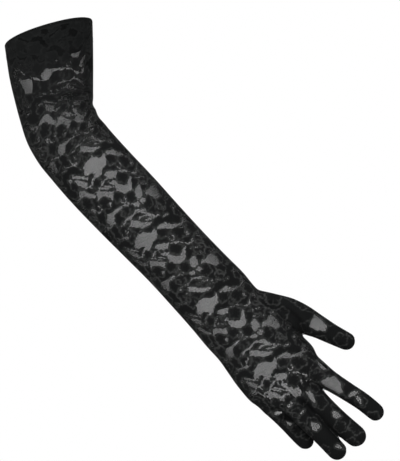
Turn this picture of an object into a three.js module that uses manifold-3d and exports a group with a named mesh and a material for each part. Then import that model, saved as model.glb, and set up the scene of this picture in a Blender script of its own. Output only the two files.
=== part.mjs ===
// Long lace glove for the right hand, seen from the back of the hand, in millimetres.
// The origin is the middle of the cuff opening. +X runs to the thumb side at the cuff, +Z up
// the arm, and +Y from the back of the hand to the palm. The sleeve hangs from the cuff, bends
// at the elbow and runs down and across to the hand, whose fingers are a little curled.
// Each limb of the glove, sleeve or finger, is lofted through a short table of sections.

import * as THREE from 'three';
import { mergeVertices } from 'three/addons/utils/BufferGeometryUtils.js';
import Module from 'manifold-3d';

const wasm = await Module();
wasm.setup();

// Driving dimensions.
const wall = 1.0;             // lace cloth, pressed flat
const gap = 0.3;              // air left between two pieces that touch
const hemDeep = 18;           // how far the folded hem reaches down inside the cuff
const hemRoll = 1.3;          // thickness of the fold that shows as the cuff's rim
const seamWide = 2.0;         // seam allowance inside the glove
const seamThick = 1.2;
const sleeveFacets = 8;       // facets across one panel of the sleeve
const fingerFacets = 6;
const sleeveSquare = 2.15;    // 2 is an ellipse, more is squarer
const fingerSquare = 2.0;
const tipAngles = [38, 70];   // sections that round off a closed end, in degrees

// The lace repeats every laceLong along the glove and every laceWide around it.
const laceLong = 84.7;
const laceWide = 78;
const windowSides = 6;
const stagger = 0.45;         // how far an inner section is moved back for each mm of inset
const windowRim = 3.5;        // cloth left between a window and the outline seam
const cutOut = 3;             // how far a window's cutter stands out of the cloth
const cutIn = 4;              // and how far it reaches into the hollow
const allDepth = 60;          // more than the glove's depth on either side of its middle
const weld = 1e-5;            // corners closer than this are one corner

const FRONT = -1;             // back of the hand, towards -Y
const REAR = 1;               // palm side, towards +Y

// One row for each section of the sleeve and hand, from cuff to knuckles. little and thumb are
// the outline's two edges, deep is half the thickness, mid the middle's Y, rise how much higher
// the front of the section stands, and lace and drift say which point of the lace lies there.
const sleeveRows = [
  { little: [-42, -12], thumb: [42, 12], deep: 41, mid: 0, rise: 8.5, lace: -16, drift: 18 },
  { little: [-40, -26], thumb: [42.5, -10], deep: 40, mid: 0, rise: 7, lace: 3, drift: 18 },
  { little: [-37, -45], thumb: [42.7, -34], deep: 39, mid: 1, rise: 6, lace: 25, drift: 18 },
  { little: [-32.5, -64], thumb: [42.6, -52], deep: 38, mid: 2, rise: 4, lace: 48, drift: 17 },
  { little: [-27.5, -83], thumb: [42.5, -63], deep: 37.5, mid: 4, rise: 2, lace: 68, drift: 16 },
  { little: [-20.5, -105], thumb: [43, -70], deep: 37.5, mid: 5, rise: 0, lace: 87, drift: 15 },
  { little: [-10, -124], thumb: [46.5, -78], deep: 37, mid: 5, rise: 0, lace: 107, drift: 13 },
  { little: [3.5, -141], thumb: [55, -89], deep: 35.5, mid: 4, rise: 0, lace: 125, drift: 8 },
  { little: [23.5, -164], thumb: [75.5, -112], deep: 34, mid: 2, rise: 0, lace: 152, drift: 3 },
  { little: [47.5, -189], thumb: [100.5, -138.5], deep: 32.5, mid: 0, rise: 0, lace: 188, drift: 1 },
  { little: [74.5, -216], thumb: [127, -168], deep: 31, mid: -2, rise: 0, lace: 227, drift: -10 },
  { little: [97.5, -239], thumb: [151, -194], deep: 29, mid: -3, rise: 0, lace: 261, drift: -8 },
  { little: [118.5, -262], thumb: [172.5, -216], deep: 27, mid: -3, rise: 0, lace: 292, drift: -8 },
  { little: [138, -284], thumb: [187, -230.5], deep: 25, mid: -2, rise: 0, lace: 316, drift: -10 },
  { little: [153, -302], thumb: [199, -245], deep: 23, mid: 0, rise: 0, lace: 338, drift: -8 },
  { little: [164, -314], thumb: [214.5, -260], deep: 21.5, mid: 0, rise: 0, lace: 356, drift: -5 },
  { little: [173.5, -327.5], thumb: [230, -275.5], deep: 19.5, mid: 0, rise: 0, lace: 376, drift: -5 },
  { little: [184, -342], thumb: [244, -291], deep: 17, mid: 0, rise: 0, lace: 395, drift: -8 },
  { little: [199, -357], thumb: [256, -306], deep: 14.5, mid: 0, rise: 0, lace: 416, drift: -9 },
  { little: [212.5, -362], thumb: [258.5, -319], deep: 12, mid: 0, rise: 0, lace: 427, drift: -9 },
  { little: [224.5, -364], thumb: [257, -332], deep: 10, mid: 0, rise: 0, lace: 436, drift: -9 },
];

// One row for each section of a finger, from inside the hand to the middle of its round tip.
// at is the section's middle seen from the front, half its half width and mid its Y.
const fingerTables = {
  thumb: [
    { at: [193, -254], half: 8.5, mid: 0 },
    { at: [213, -259.5], half: 9.8, mid: 0 },
    { at: [230, -267], half: 12.8, mid: 0 },
    { at: [245.5, -275.5], half: 13.2, mid: 1 },
    { at: [258, -281.5], half: 11, mid: 4.5 },
    { at: [270, -288], half: 9.6, mid: 8 },
    { at: [286, -296], half: 8.4, mid: 12 },
  ],
  index: [
    { at: [239.5, -312], half: 12.5, mid: 0 },
    { at: [254.5, -323], half: 11.8, mid: 0 },
    { at: [267.5, -332], half: 9.8, mid: 0 },
    { at: [285.5, -343.5], half: 8.7, mid: 3 },
    { at: [303, -355], half: 8.4, mid: 6 },
    { at: [314, -364], half: 8.2, mid: 8.5 },
  ],
  middle: [
    { at: [230, -323.5], half: 12.5, mid: 0 },
    { at: [246, -340], half: 11.2, mid: 0 },
    { at: [266, -361], half: 10.2, mid: 0 },
    { at: [279, -373.5], half: 10.2, mid: 3 },
    { at: [295, -387], half: 10, mid: 6.5 },
  ],
  ring: [
    { at: [218.5, -338], half: 11, mid: 0 },
    { at: [234.5, -356], half: 10.4, mid: 0 },
    { at: [252.5, -375.5], half: 9.5, mid: 0 },
    { at: [268, -391.5], half: 9.1, mid: 3 },
    { at: [277, -401], half: 9, mid: 5 },
  ],
  little: [
    { at: [199, -344.5], half: 9.6, mid: 0 },
    { at: [216, -360.5], half: 8.6, mid: 3 },
    { at: [230, -374.5], half: 8.2, mid: 12 },
    { at: [240.5, -385.5], half: 8.2, mid: 14.5 },
    { at: [246.7, -391.7], half: 8.1, mid: 16 },
  ],
};
const fingerFlat = 0.9;       // a finger's thickness over its width

// The chart of the larger sheer windows between the flowers, one row for each, in the lace's
// own directions: t around the glove from the middle of the panel and s along it. long and
// wide are its size, lean its turn from the across direction and bend how far its ends droop.
const laceWindows = [
  { t: 2, s: 141, long: 27, wide: 15, lean: 6, bend: 0 },
  { t: 31, s: 147, long: 26, wide: 8, lean: 30, bend: 0 },
  { t: 11, s: 177, long: 25, wide: 7.5, lean: 4, bend: -8 },
  { t: 33, s: 197, long: 20, wide: 13, lean: 15, bend: 0 },
];

// The few sheer windows on the backs of the fingers: along is the distance from the finger's
// first section.
const fingerWindows = [
  { finger: 'thumb', along: 72, long: 14, wide: 6.5, lean: 55 },
  { finger: 'index', along: 40, long: 15, wide: 6, lean: 50 },
  { finger: 'middle', along: 55, long: 11, wide: 5.5, lean: 35 },
  { finger: 'ring', along: 48, long: 11, wide: 5.5, lean: 60 },
  { finger: 'little', along: 44, long: 10, wide: 5, lean: 60 },
];

// Each panel is parted along these lines, seen from the front, so that the hollow inside each
// stretch is nearly straight: across the sleeve three times, at the root of the thumb, and along
// the knuckles from web to web.
const partingLines = [
  [[-19, -116], [48, -71]],
  [[53, -201], [112, -144.5]],
  [[125, -276], [183, -220]],
  [[246.5, -292.8], [259, -259]],
  [[276, -312], [262, -340.7], [263, -372.5], [231, -367.2], [216, -382]],
];

// The stretches that they leave, each with a place near its middle.
const stretches = [
  { name: 'sleeve_top', at: [4, -45] },
  { name: 'sleeve_middle', at: [48, -135] },
  { name: 'sleeve_wrist', at: [118, -210] },
  { name: 'hand', at: [200, -300] },
  { name: 'thumb', at: [268, -285] },
  { name: 'index', at: [292, -345] },
  { name: 'middle', at: [283, -370] },
  { name: 'ring', at: [258, -388] },
  { name: 'little', at: [236, -384] },
];

const radians = (degrees) => degrees * Math.PI / 180;

// The straight-line value of y at x in a table with rising x.
function straight(rows, x, xOf, yOf) {
  let i = 1;
  while (i < rows.length - 1 && xOf(rows[i]) < x) i += 1;
  const f = (x - xOf(rows[i - 1])) / (xOf(rows[i]) - xOf(rows[i - 1]));
  return yOf(rows[i - 1]) + f * (yOf(rows[i]) - yOf(rows[i - 1]));
}

// A limb has rows with s, the middle [x, z], the across direction [x, z], half, deep, mid, rise.
function addArcLength(rows) {
  rows.forEach((row, i) => {
    const last = rows[i - 1];
    row.s = i === 0 ? 0 : last.s + Math.hypot(row.at[0] - last.at[0], row.at[1] - last.at[1]);
  });
  return rows;
}

function sleeveLimb() {
  const rows = sleeveRows.map((row) => {
    const dx = row.thumb[0] - row.little[0];
    const dz = row.thumb[1] - row.little[1];
    const wide = Math.hypot(dx, dz);
    const at = [(row.thumb[0] + row.little[0]) / 2, (row.thumb[1] + row.little[1]) / 2];
    return { ...row, at, across: [dx / wide, dz / wide], half: wide / 2 };
  });
  return { rows: addArcLength(rows), facets: sleeveFacets, square: sleeveSquare };
}

// A finger's across direction is square to its run, on the thumb's side.
function fingerLimb(table) {
  const rows = addArcLength(table.map((row) => ({ ...row })));
  rows.forEach((row, i) => {
    const from = rows[Math.max(i - 1, 0)].at;
    const to = rows[Math.min(i + 1, rows.length - 1)].at;
    const run = Math.hypot(to[0] - from[0], to[1] - from[1]);
    row.across = [(from[1] - to[1]) / run, (to[0] - from[0]) / run];
    row.deep = row.half * fingerFlat;
    row.rise = 0;
  });
  return { rows, facets: fingerFacets, square: fingerSquare };
}

// The section of a limb at s, made smaller by inset all round.
function sectionAt(limb, s, inset) {
  const value = (pick) => straight(limb.rows, s, (row) => row.s, pick);
  const across = [value((r) => r.across[0]), value((r) => r.across[1])];
  const size = Math.hypot(across[0], across[1]);
  return {
    at: [value((r) => r.at[0]), value((r) => r.at[1])],
    across: [across[0] / size, across[1] / size],
    half: value((r) => r.half) - inset,
    deep: value((r) => r.deep) - inset,
    mid: value((r) => r.mid),
    rise: value((r) => r.rise),
    square: limb.square,
  };
}

// The point of a section that lies offset across from its middle and y behind its mid surface.
function place(section, offset, y) {
  const lift = -section.rise * y / section.deep;
  return new THREE.Vector3(
    section.at[0] + section.across[0] * offset,
    section.mid + y,
    section.at[1] + section.across[1] * offset + lift,
  );
}

// How far the cloth stands off the mid surface, offset across from the middle.
function bulge(section, offset) {
  const f = Math.min(Math.abs(offset) / section.half, 1);
  return section.deep * (1 - f ** section.square) ** (1 / section.square);
}

// The sections of a limb from one end to the other. A closed end adds smaller and smaller ones.
// Inner sections are staggered against the outer ones, so that no two edges fall together.
function sectionsOf(limb, inset, from) {
  const staggered = limb.rows.map((row) => row.s - stagger * inset);
  const stations = [from, ...staggered.filter((s) => s > from + 1)];
  const list = stations.map((s) => sectionAt(limb, s, inset));
  const end = list[list.length - 1];
  const run = [end.across[1], -end.across[0]];
  const reach = limb.reach ?? end.half;
  for (const angle of tipAngles) {
    const small = Math.cos(radians(angle));
    const on = Math.sin(radians(angle)) * reach;
    list.push({
      ...end,
      at: [end.at[0] + run[0] * on, end.at[1] + run[1] * on],
      half: end.half * small,
      deep: end.deep * small,
    });
  }
  return list;
}

// A closed skin over rings that each have the same number of points.
function skin(rings) {
  const count = rings[0].length;
  const points = rings.flat();
  const faces = [];
  for (let i = 0; i + 1 < rings.length; i += 1) {
    for (let j = 0; j < count; j += 1) {
      const k = (j + 1) % count;
      const a = i * count;
      const b = a + count;
      faces.push([a + j, a + k, b + k], [a + j, b + k, b + j]);
    }
  }
  const lastRing = (rings.length - 1) * count;
  for (const [first, turned] of [[0, true], [lastRing, false]]) {
    const centre = points.length;
    const middle = new THREE.Vector3();
    for (let j = 0; j < count; j += 1) middle.addScaledVector(points[first + j], 1 / count);
    points.push(middle);
    for (let j = 0; j < count; j += 1) {
      const k = (j + 1) % count;
      faces.push(turned ? [first + k, first + j, centre] : [first + j, first + k, centre]);
    }
  }
  return { points, faces };
}

// A solid from points and faces, turned outside out if its faces point in.
function solid({ points, faces }) {
  let volume = 0;
  for (const [a, b, c] of faces) {
    volume += points[a].dot(new THREE.Vector3().crossVectors(points[b], points[c]));
  }
  const order = volume < 0 ? ([a, b, c]) => [a, c, b] : (face) => face;
  const geometry = new THREE.BufferGeometry().setFromPoints(points);
  geometry.setIndex(faces.flatMap(order));
  const merged = mergeVertices(geometry, weld);
  return new wasm.Manifold(new wasm.Mesh({
    numProp: 3,
    vertProperties: merged.attributes.position.array,
    triVerts: new Uint32Array(merged.index.array),
  }));
}

const join = (solids) => solids.reduce((whole, next) => whole.add(next));

// The offsets across a panel at which a section has points, even in angle.
function offsets(section, facets) {
  const list = [];
  for (let j = 0; j <= facets; j += 1) {
    list.push(section.half * Math.sin(radians(-90 + 180 * j / facets)));
  }
  return list;
}

// One half of a limb, filled, from its mid surface to the cloth on the given side. past moves
// the flat side over the mid surface.
function halfLimb(limb, side, inset, past, from) {
  return solid(skin(sectionsOf(limb, inset, from).map((section) => {
    const across = offsets(section, limb.facets);
    const atEnd = (j) => j === 0 || j === limb.facets;
    return across.map((u, j) => place(section, u, atEnd(j) ? -side * past : side * bulge(section, u)));
  })));
}

// A limb filled on both sides of its mid surface.
function wholeLimb(limb, inset, from) {
  return solid(skin(sectionsOf(limb, inset, from).map((section) => {
    const across = offsets(section, limb.facets);
    const front = across.map((u) => place(section, u, FRONT * bulge(section, u)));
    const rear = across.slice(1, -1).reverse().map((u) => place(section, u, bulge(section, u)));
    return front.concat(rear);
  })));
}

// A flat slab on a limb's mid surface, thick in all.
function slab(limb, inset, thick, from) {
  return solid(skin(sectionsOf(limb, inset, from).map((section) => [
    place(section, -section.half, -thick / 2),
    place(section, section.half, -thick / 2),
    place(section, section.half, thick / 2),
    place(section, -section.half, thick / 2),
  ])));
}

// A short open-ended stretch of the sleeve between two distances from the cuff.
function sleeveBand(limb, inset, from, to) {
  const rings = [from, to].map((s) => {
    const section = sectionAt(limb, s, inset);
    const across = offsets(section, limb.facets);
    const front = across.map((u) => place(section, u, FRONT * bulge(section, u)));
    const rear = across.slice(1, -1).reverse().map((u) => place(section, u, bulge(section, u)));
    return front.concat(rear);
  });
  return solid(skin(rings));
}

// The point of a panel's cloth t around and s along.
function clothPoint(limb, side, t, s) {
  const section = sectionAt(limb, s, 0);
  const reach = section.half * Math.PI / 2 - windowRim;
  const held = Math.min(Math.max(t, -reach), reach);
  const u = section.half * Math.sin(held / section.half);
  return place(section, u, side * bulge(section, u));
}

// The direction square to the cloth there, outwards.
function clothNormal(limb, side, t, s) {
  const around = clothPoint(limb, side, t + 1, s).sub(clothPoint(limb, side, t - 1, s));
  const along = clothPoint(limb, side, t, s + 1).sub(clothPoint(limb, side, t, s - 1));
  const normal = around.cross(along).normalize();
  return normal.y * side < 0 ? normal.negate() : normal;
}

// The cutter of one window: a straight prism through the cloth, whose outline is a bent oval.
// toCloth turns a place on the chart, from the window's middle, into a place on the limb.
function windowCutter(limb, side, row, toCloth) {
  const normal = clothNormal(limb, side, ...toCloth(0, 0));
  const lean = radians(row.lean);
  const outline = [];
  for (let k = 0; k < windowSides; k += 1) {
    const angle = 2 * Math.PI * k / windowSides;
    const along = row.long / 2 * Math.cos(angle);
    const droop = (row.bend ?? 0) * (Math.cos(angle) ** 2 - 0.5);
    const over = row.wide / 2 * Math.sin(angle) + droop;
    const t = along * Math.cos(lean) - over * Math.sin(lean);
    const s = along * Math.sin(lean) + over * Math.cos(lean);
    outline.push(clothPoint(limb, side, ...toCloth(t, s)));
  }
  const moved = (out) => outline.map((point) => point.clone().addScaledVector(normal, out));
  return solid(skin([moved(cutOut), moved(-cutIn)]));
}

// The windows of the sleeve: the chart is repeated over the lace, and kept where it fits.
function sleeveCutters(limb, side) {
  const cutters = [];
  const { rows } = limb;
  const laceEnd = rows[rows.length - 2].lace;
  for (const row of laceWindows) {
    for (let j = -2; j <= 4; j += 1) {
      for (let i = -1; i <= 1; i += 1) {
        const lace = row.s + laceLong * j;
        const s = straight(rows, lace, (r) => r.lace, (r) => r.s);
        const t = row.t + laceWide * i + straight(rows, s, (r) => r.s, (r) => r.drift);
        const reach = sectionAt(limb, Math.max(s, 0), 0).half * Math.PI / 2;
        const clear = Math.abs(t) + row.long / 2 < reach;
        if (clear && s > hemDeep + row.wide && lace < laceEnd) {
          const toCloth = (dt, ds) => {
            const there = straight(rows, lace + ds, (r) => r.lace, (r) => r.s);
            return [t + dt, there];
          };
          cutters.push(windowCutter(limb, side, row, toCloth));
        }
      }
    }
  }
  return cutters;
}

function fingerCutters(limbs) {
  return fingerWindows.map((row) => {
    const toCloth = (t, s) => [t, row.along + s];
    return windowCutter(limbs[row.finger], FRONT, row, toCloth);
  });
}

// A thin upright plate along a parting line, through the whole depth of the glove.
function plate([x1, z1], [x2, z2]) {
  const long = Math.hypot(x2 - x1, z2 - z1);
  const on = [(x2 - x1) / long * gap, (z2 - z1) / long * gap];
  const beside = [-on[1] / 2, on[0] / 2];
  const ring = (x, z) => [[1, -1], [1, 1], [-1, 1], [-1, -1]].map(([side, deep]) => (
    new THREE.Vector3(x + side * beside[0], deep * allDepth, z + side * beside[1])
  ));
  return solid(skin([ring(x1 - on[0], z1 - on[1]), ring(x2 + on[0], z2 + on[1])]));
}

// The separate bodies of a solid, each as a geometry: triangles that share a corner belong together.
function bodiesOf(whole) {
  const { vertProperties, triVerts } = whole.getMesh();
  const owner = Array.from({ length: vertProperties.length / 3 }, (value, i) => i);
  const rootOf = (i) => {
    let root = i;
    while (owner[root] !== root) root = owner[root];
    owner[i] = root;
    return root;
  };
  for (let k = 0; k < triVerts.length; k += 3) {
    owner[rootOf(triVerts[k + 1])] = rootOf(triVerts[k]);
    owner[rootOf(triVerts[k + 2])] = rootOf(triVerts[k]);
  }
  const corners = new Map();
  triVerts.forEach((i) => {
    const root = rootOf(i);
    if (!corners.has(root)) corners.set(root, []);
    corners.get(root).push(vertProperties[3 * i], vertProperties[3 * i + 1], vertProperties[3 * i + 2]);
  });
  return [...corners.values()].map((list) => {
    const loose = new THREE.BufferGeometry();
    loose.setAttribute('position', new THREE.BufferAttribute(new Float32Array(list), 3));
    return mergeVertices(loose, weld);
  });
}

// The body whose box has its middle nearest to a place, seen from the front.
function nearestBody(bodies, [x, z]) {
  const far = (geometry) => {
    geometry.computeBoundingBox();
    const middle = geometry.boundingBox.getCenter(new THREE.Vector3());
    return Math.hypot(middle.x - x, middle.z - z);
  };
  return bodies.reduce((best, next) => (far(next) < far(best) ? next : best));
}

// A named mesh with flat facets and its colour.
function piece(name, geometry, colour, roughness) {
  geometry.computeVertexNormals();
  const material = new THREE.MeshStandardMaterial({ color: colour, roughness, metalness: 0 });
  const mesh = new THREE.Mesh(geometry, material);
  mesh.name = name;
  return mesh;
}

const sleeve = sleeveLimb();
const fingers = Object.fromEntries(
  Object.entries(fingerTables).map(([name, table]) => [name, fingerLimb(table)]),
);
sleeve.reach = 10;            // the hand's end is a shallow dome between the finger roots
const limbs = [sleeve, ...Object.values(fingers)];
// Fingers start inside the hand, the inner skins a little later than the outer ones.
const startOf = (limb, start, inset) => (limb === sleeve ? start : stagger * inset);

// The hollow for the arm, the hand and the fingers. It runs out past the cuff.
const hollow = join(limbs.map((limb) => wholeLimb(limb, wall, startOf(limb, -6, wall))));

// Two lace panels make the whole glove, joined by one seam that follows the outline. Each is
// parted into stretches that keep a small gap.
const panelStart = hemRoll + gap;
const halves = (side, inset, past, start) => join(
  limbs.map((limb) => halfLimb(limb, side, inset, past, startOf(limb, start, inset))),
);
const frontHalves = halves(FRONT, 0, -gap / 2, panelStart);
const rearHalves = halves(REAR, 0, 0, panelStart);
const frontRoom = halves(FRONT, -gap, gap / 2, -2);
const frontCutters = join([...sleeveCutters(sleeve, FRONT), ...fingerCutters(fingers)]);
const rearCutters = join(sleeveCutters(sleeve, REAR));
const backPanel = frontHalves.subtract(hollow).subtract(frontCutters);
const palmPanel = rearHalves.subtract(frontRoom).subtract(hollow).subtract(rearCutters);

// The hem is folded in over the panels' edges and hangs inside them.
const hemInset = wall + gap;
const hemOuter = join([
  sleeveBand(sleeve, 0, 0, hemRoll),
  sleeveBand(sleeve, hemInset, 0, hemDeep),
]);
const cuffHem = hemOuter.subtract(sleeveBand(sleeve, hemInset + wall, -4, hemDeep + 4));

// The seam allowance stands inside the outline, from under the hem round every fingertip.
const seamStart = hemDeep + gap;
const slabs = (inset, thick, start) => join(
  limbs.map((limb) => slab(limb, inset, thick, startOf(limb, start, inset))),
);
const seamOuter = slabs(hemInset, seamThick, seamStart);
const outlineSeam = seamOuter.subtract(slabs(hemInset + seamWide, seamThick * 3, 0));

const partings = join(partingLines.flatMap((line) => line.slice(1).map((to, i) => plate(line[i], to))));
const glove = new THREE.Group();
for (const [side, panel] of [['back', backPanel], ['palm', palmPanel]]) {
  const bodies = bodiesOf(panel.subtract(partings));
  for (const { name, at } of stretches) {
    glove.add(piece(`${side}_${name}`, nearestBody(bodies, at), 0x1c1e1e, 0.75));
  }
}
glove.add(piece('cuff_hem', bodiesOf(cuffHem)[0], 0x151616, 0.7));
glove.add(piece('outline_seam', bodiesOf(outlineSeam)[0], 0x222424, 0.8));

export default glove;
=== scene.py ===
# %% [markdown]
# A long lace glove is two flat panels of stretch lace sewn together along the outline of the arm and
# hand, with the top edge folded in as a hem. Worn, it takes the form of the arm. This lesson models the
# form first, then lays the lace's own directions over it, and only then cuts the lace, so that flowers
# and sheer windows follow the cloth as they do on the real glove.

# %% Load the fixed frame
import bpy
import math
import numpy as np
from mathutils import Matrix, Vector, kdtree


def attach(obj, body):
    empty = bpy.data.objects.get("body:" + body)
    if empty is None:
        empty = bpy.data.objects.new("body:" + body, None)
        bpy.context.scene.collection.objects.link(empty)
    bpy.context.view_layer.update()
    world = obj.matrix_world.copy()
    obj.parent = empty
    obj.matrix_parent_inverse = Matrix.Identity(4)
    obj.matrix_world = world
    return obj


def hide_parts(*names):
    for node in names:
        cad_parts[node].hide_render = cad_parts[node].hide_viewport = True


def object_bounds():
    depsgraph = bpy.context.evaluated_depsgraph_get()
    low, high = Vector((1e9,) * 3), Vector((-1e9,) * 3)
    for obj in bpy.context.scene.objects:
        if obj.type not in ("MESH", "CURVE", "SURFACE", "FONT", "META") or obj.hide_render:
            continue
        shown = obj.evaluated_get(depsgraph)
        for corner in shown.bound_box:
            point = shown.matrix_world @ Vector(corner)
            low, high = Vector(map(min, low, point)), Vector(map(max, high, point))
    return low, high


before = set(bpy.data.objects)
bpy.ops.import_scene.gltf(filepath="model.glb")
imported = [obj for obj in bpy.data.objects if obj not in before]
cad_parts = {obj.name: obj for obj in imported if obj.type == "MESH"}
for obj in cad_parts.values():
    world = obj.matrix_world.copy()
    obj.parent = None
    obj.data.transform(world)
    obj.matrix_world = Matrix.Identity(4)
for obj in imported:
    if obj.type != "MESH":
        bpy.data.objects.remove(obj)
MM = 0.001


def plain_box(box):
    """A box as plain lists of numbers."""
    return [[float(v) for v in corner] for corner in box]


def add_object(name, data):
    """A new object in the scene that shows the data."""
    made = bpy.data.objects.new(name, data)
    bpy.context.collection.objects.link(made)
    return made


def evaluated(thing):
    """The mesh that a thing's modifiers make of it. The thing itself is taken away."""
    graph = bpy.context.evaluated_depsgraph_get()
    mesh = bpy.data.meshes.new_from_object(thing.evaluated_get(graph))
    bpy.data.objects.remove(thing)
    return mesh


cad_box = plain_box(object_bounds())
print("solid model's box in metres", cad_box)

# %% [markdown]
# The photograph is taken from straight in front and far away, so a long lens keeps the sleeve's edges
# straight. The view is as tall as 461 pixels at 0.96 mm each. The studio is a pale floor under the
# fingertips and a white surround, with one large soft light for the relief of the flowers.

# %% Camera, lights and floor
PIXEL = 0.96 * MM
VIEW_TALL = 461 * PIXEL
VIEW_MIDDLE = (0.1454, -0.1896)
CAMERA_FAR = 12.0
CAMERA_REACH = 60
SENSOR = 36.0
FLOOR_WIDE = 3.0
FLOOR_FRONT = 3.0
FLOOR_BACK = 0.6
FLOOR_UNDER = 12 * MM
FLOOR_GREY = (0.7, 0.7, 0.695, 1)
FLOOR_ROUGH = 0.9
LIGHTS = {
    "key": dict(place=(-1.1, -2.0, 1.3), size=1.2, power=60),
    "fill": dict(place=(1.6, -1.8, 0.2), size=1.6, power=20),
}


def add_camera():
    """A camera that looks along +Y and frames the glove as the photograph does."""
    data = bpy.data.cameras.new("camera")
    data.sensor_width = SENSOR
    data.lens = SENSOR * CAMERA_FAR / VIEW_TALL
    data.clip_end = CAMERA_REACH
    camera = add_object("camera", data)
    camera.location = (VIEW_MIDDLE[0], -CAMERA_FAR, VIEW_MIDDLE[1])
    camera.rotation_euler = (math.radians(90), 0, 0)
    bpy.context.scene.camera = camera


def add_light(name, place, size, power):
    """A square soft light that faces the middle of the glove."""
    data = bpy.data.lights.new(name, "AREA")
    data.size = size
    data.energy = power
    light = add_object(name, data)
    light.location = place
    middle = Vector((VIEW_MIDDLE[0], 0, VIEW_MIDDLE[1]))
    light.rotation_euler = (middle - Vector(place)).to_track_quat("-Z", "Y").to_euler()


def add_studio():
    """A white surround and a pale floor just under the fingertips."""
    world = bpy.data.worlds.new("studio")
    bpy.context.scene.world = world
    world.use_nodes = True
    world.node_tree.nodes["Background"].inputs["Color"].default_value = (1, 1, 1, 1)
    world.node_tree.nodes["Background"].inputs["Strength"].default_value = 1.0
    mesh = bpy.data.meshes.new("floor")
    low = cad_box[0][2] - FLOOR_UNDER
    corners = [(-FLOOR_WIDE, -FLOOR_FRONT, low), (FLOOR_WIDE, -FLOOR_FRONT, low),
               (FLOOR_WIDE, FLOOR_BACK, low), (-FLOOR_WIDE, FLOOR_BACK, low)]
    mesh.from_pydata(corners, [], [(0, 1, 2, 3)])
    material = bpy.data.materials.new("pale_floor")
    material.use_nodes = True
    shader = material.node_tree.nodes["Principled BSDF"]
    shader.inputs["Base Color"].default_value = FLOOR_GREY
    shader.inputs["Roughness"].default_value = FLOOR_ROUGH
    mesh.materials.append(material)
    floor = add_object("floor", mesh)


add_camera()
for name, light in LIGHTS.items():
    add_light(name, **light)
add_studio()
bpy.context.scene.view_settings.view_transform = "Standard"
print("view", round(VIEW_TALL / MM), "mm tall,", len(LIGHTS), "lights")

# %% [markdown]
# The form is one sleeve and five fingers, each a soft oval section swept along its run. It could be
# sculpted, but tables of sections are easier to measure and to change. The sleeve's sections are given
# by the two edges of its outline, as a pattern cutter would mark them, and the fingers' by their middle
# line. These are the same sections as the solid model's, in millimetres. The sleeve's last four columns
# lay the lace on it: how far along the repeat a row is, how far the repeat drifts sideways, how it
# leans where the cloth is pulled, and how it bows over the front.

# %% Sections of the sleeve and the fingers
SLEEVE_COLUMNS = ("little_x", "little_z", "thumb_x", "thumb_z", "deep", "mid", "rise", "lace", "drift",
                  "skew", "bow")
SLEEVE = (
    (-42, -12, 42, 12, 41, 0, 8.5, -29, 18, 0.05, 0.006),
    (-40, -26, 42.5, -10, 40, 0, 7, -9, 18, 0.05, 0.006),
    (-37, -45, 42.7, -34, 39, 1, 6, 16, 18, 0.07, 0.005),
    (-32.5, -64, 42.6, -52, 38, 2, 4, 39, 17, 0.12, 0.003),
    (-27.5, -83, 42.5, -63, 37.5, 4, 2, 69, 16, 0.33, 0),
    (-20.5, -105, 43, -70, 37.5, 5, 0, 85, 15, 0.22, 0),
    (-10, -124, 46.5, -78, 37, 5, 0, 100, 13, 0.03, 0),
    (3.5, -141, 55, -89, 35.5, 4, 0, 123, 8, 0, 0),
    (23.5, -164, 75.5, -112, 34, 2, 0, 152, 3, 0, 0),
    (47.5, -189, 100.5, -138.5, 32.5, 0, 0, 188, 1, 0, 0),
    (74.5, -216, 127, -168, 31, -2, 0, 227, -10, 0, 0),
    (97.5, -239, 151, -194, 29, -3, 0, 261, -8, 0, 0),
    (118.5, -262, 172.5, -216, 27, -3, 0, 292, -8, 0, 0),
    (138, -284, 187, -230.5, 25, -2, 0, 316, -10, 0, 0),
    (153, -302, 199, -245, 23, 0, 0, 338, -8, 0, 0),
    (164, -314, 214.5, -260, 21.5, 0, 0, 356, -5, 0, 0),
    (173.5, -327.5, 230, -275.5, 19.5, 0, 0, 376, -5, 0, 0),
    (184, -342, 244, -291, 17, 0, 0, 395, -8, 0, 0),
    (199, -357, 256, -306, 14.5, 0, 0, 416, -9, 0, 0),
    (212.5, -362, 258.5, -319, 12, 0, 0, 427, -9, 0, 0),
    (224.5, -364, 257, -332, 10, 0, 0, 436, -9, 0, 0),
)
FINGER_COLUMNS = ("x", "z", "half", "mid")
FINGERS = {
    "thumb": ((193, -254, 8.5, 0), (213, -259.5, 9.8, 0), (230, -267, 12.8, 0), (245.5, -275.5, 13.2, 1),
              (258, -281.5, 11, 4.5), (270, -288, 9.6, 8), (286, -296, 8.4, 12)),
    "index": ((239.5, -312, 12.5, 0), (254.5, -323, 11.8, 0), (267.5, -332, 9.8, 0),
              (285.5, -343.5, 8.7, 3), (303, -355, 8.4, 6), (314, -364, 8.2, 8.5)),
    "middle": ((230, -323.5, 12.5, 0), (246, -340, 11.2, 0), (266, -361, 10.2, 0),
               (279, -373.5, 10.2, 3), (295, -387, 10, 6.5)),
    "ring": ((218.5, -338, 11, 0), (234.5, -356, 10.4, 0), (252.5, -375.5, 9.5, 0),
             (268, -391.5, 9.1, 3), (277, -401, 9, 5)),
    "little": ((199, -344.5, 9.6, 0), (216, -360.5, 8.6, 3), (230, -374.5, 8.2, 12),
               (240.5, -385.5, 8.2, 14.5), (246.7, -391.7, 8.1, 16)),
}
FINGER_FLAT = 0.9
SLEEVE_SQUARE = 2.15
FINGER_SQUARE = 2.0
HAND_END_REACH = 10


def unit(vectors):
    """Each row, made one long."""
    return vectors / np.linalg.norm(vectors, axis=1)[:, None]


def along_from(across):
    """The direction along a limb, at right angles to its across direction."""
    return np.stack([across[:, 1], -across[:, 0]], axis=1)


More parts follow.
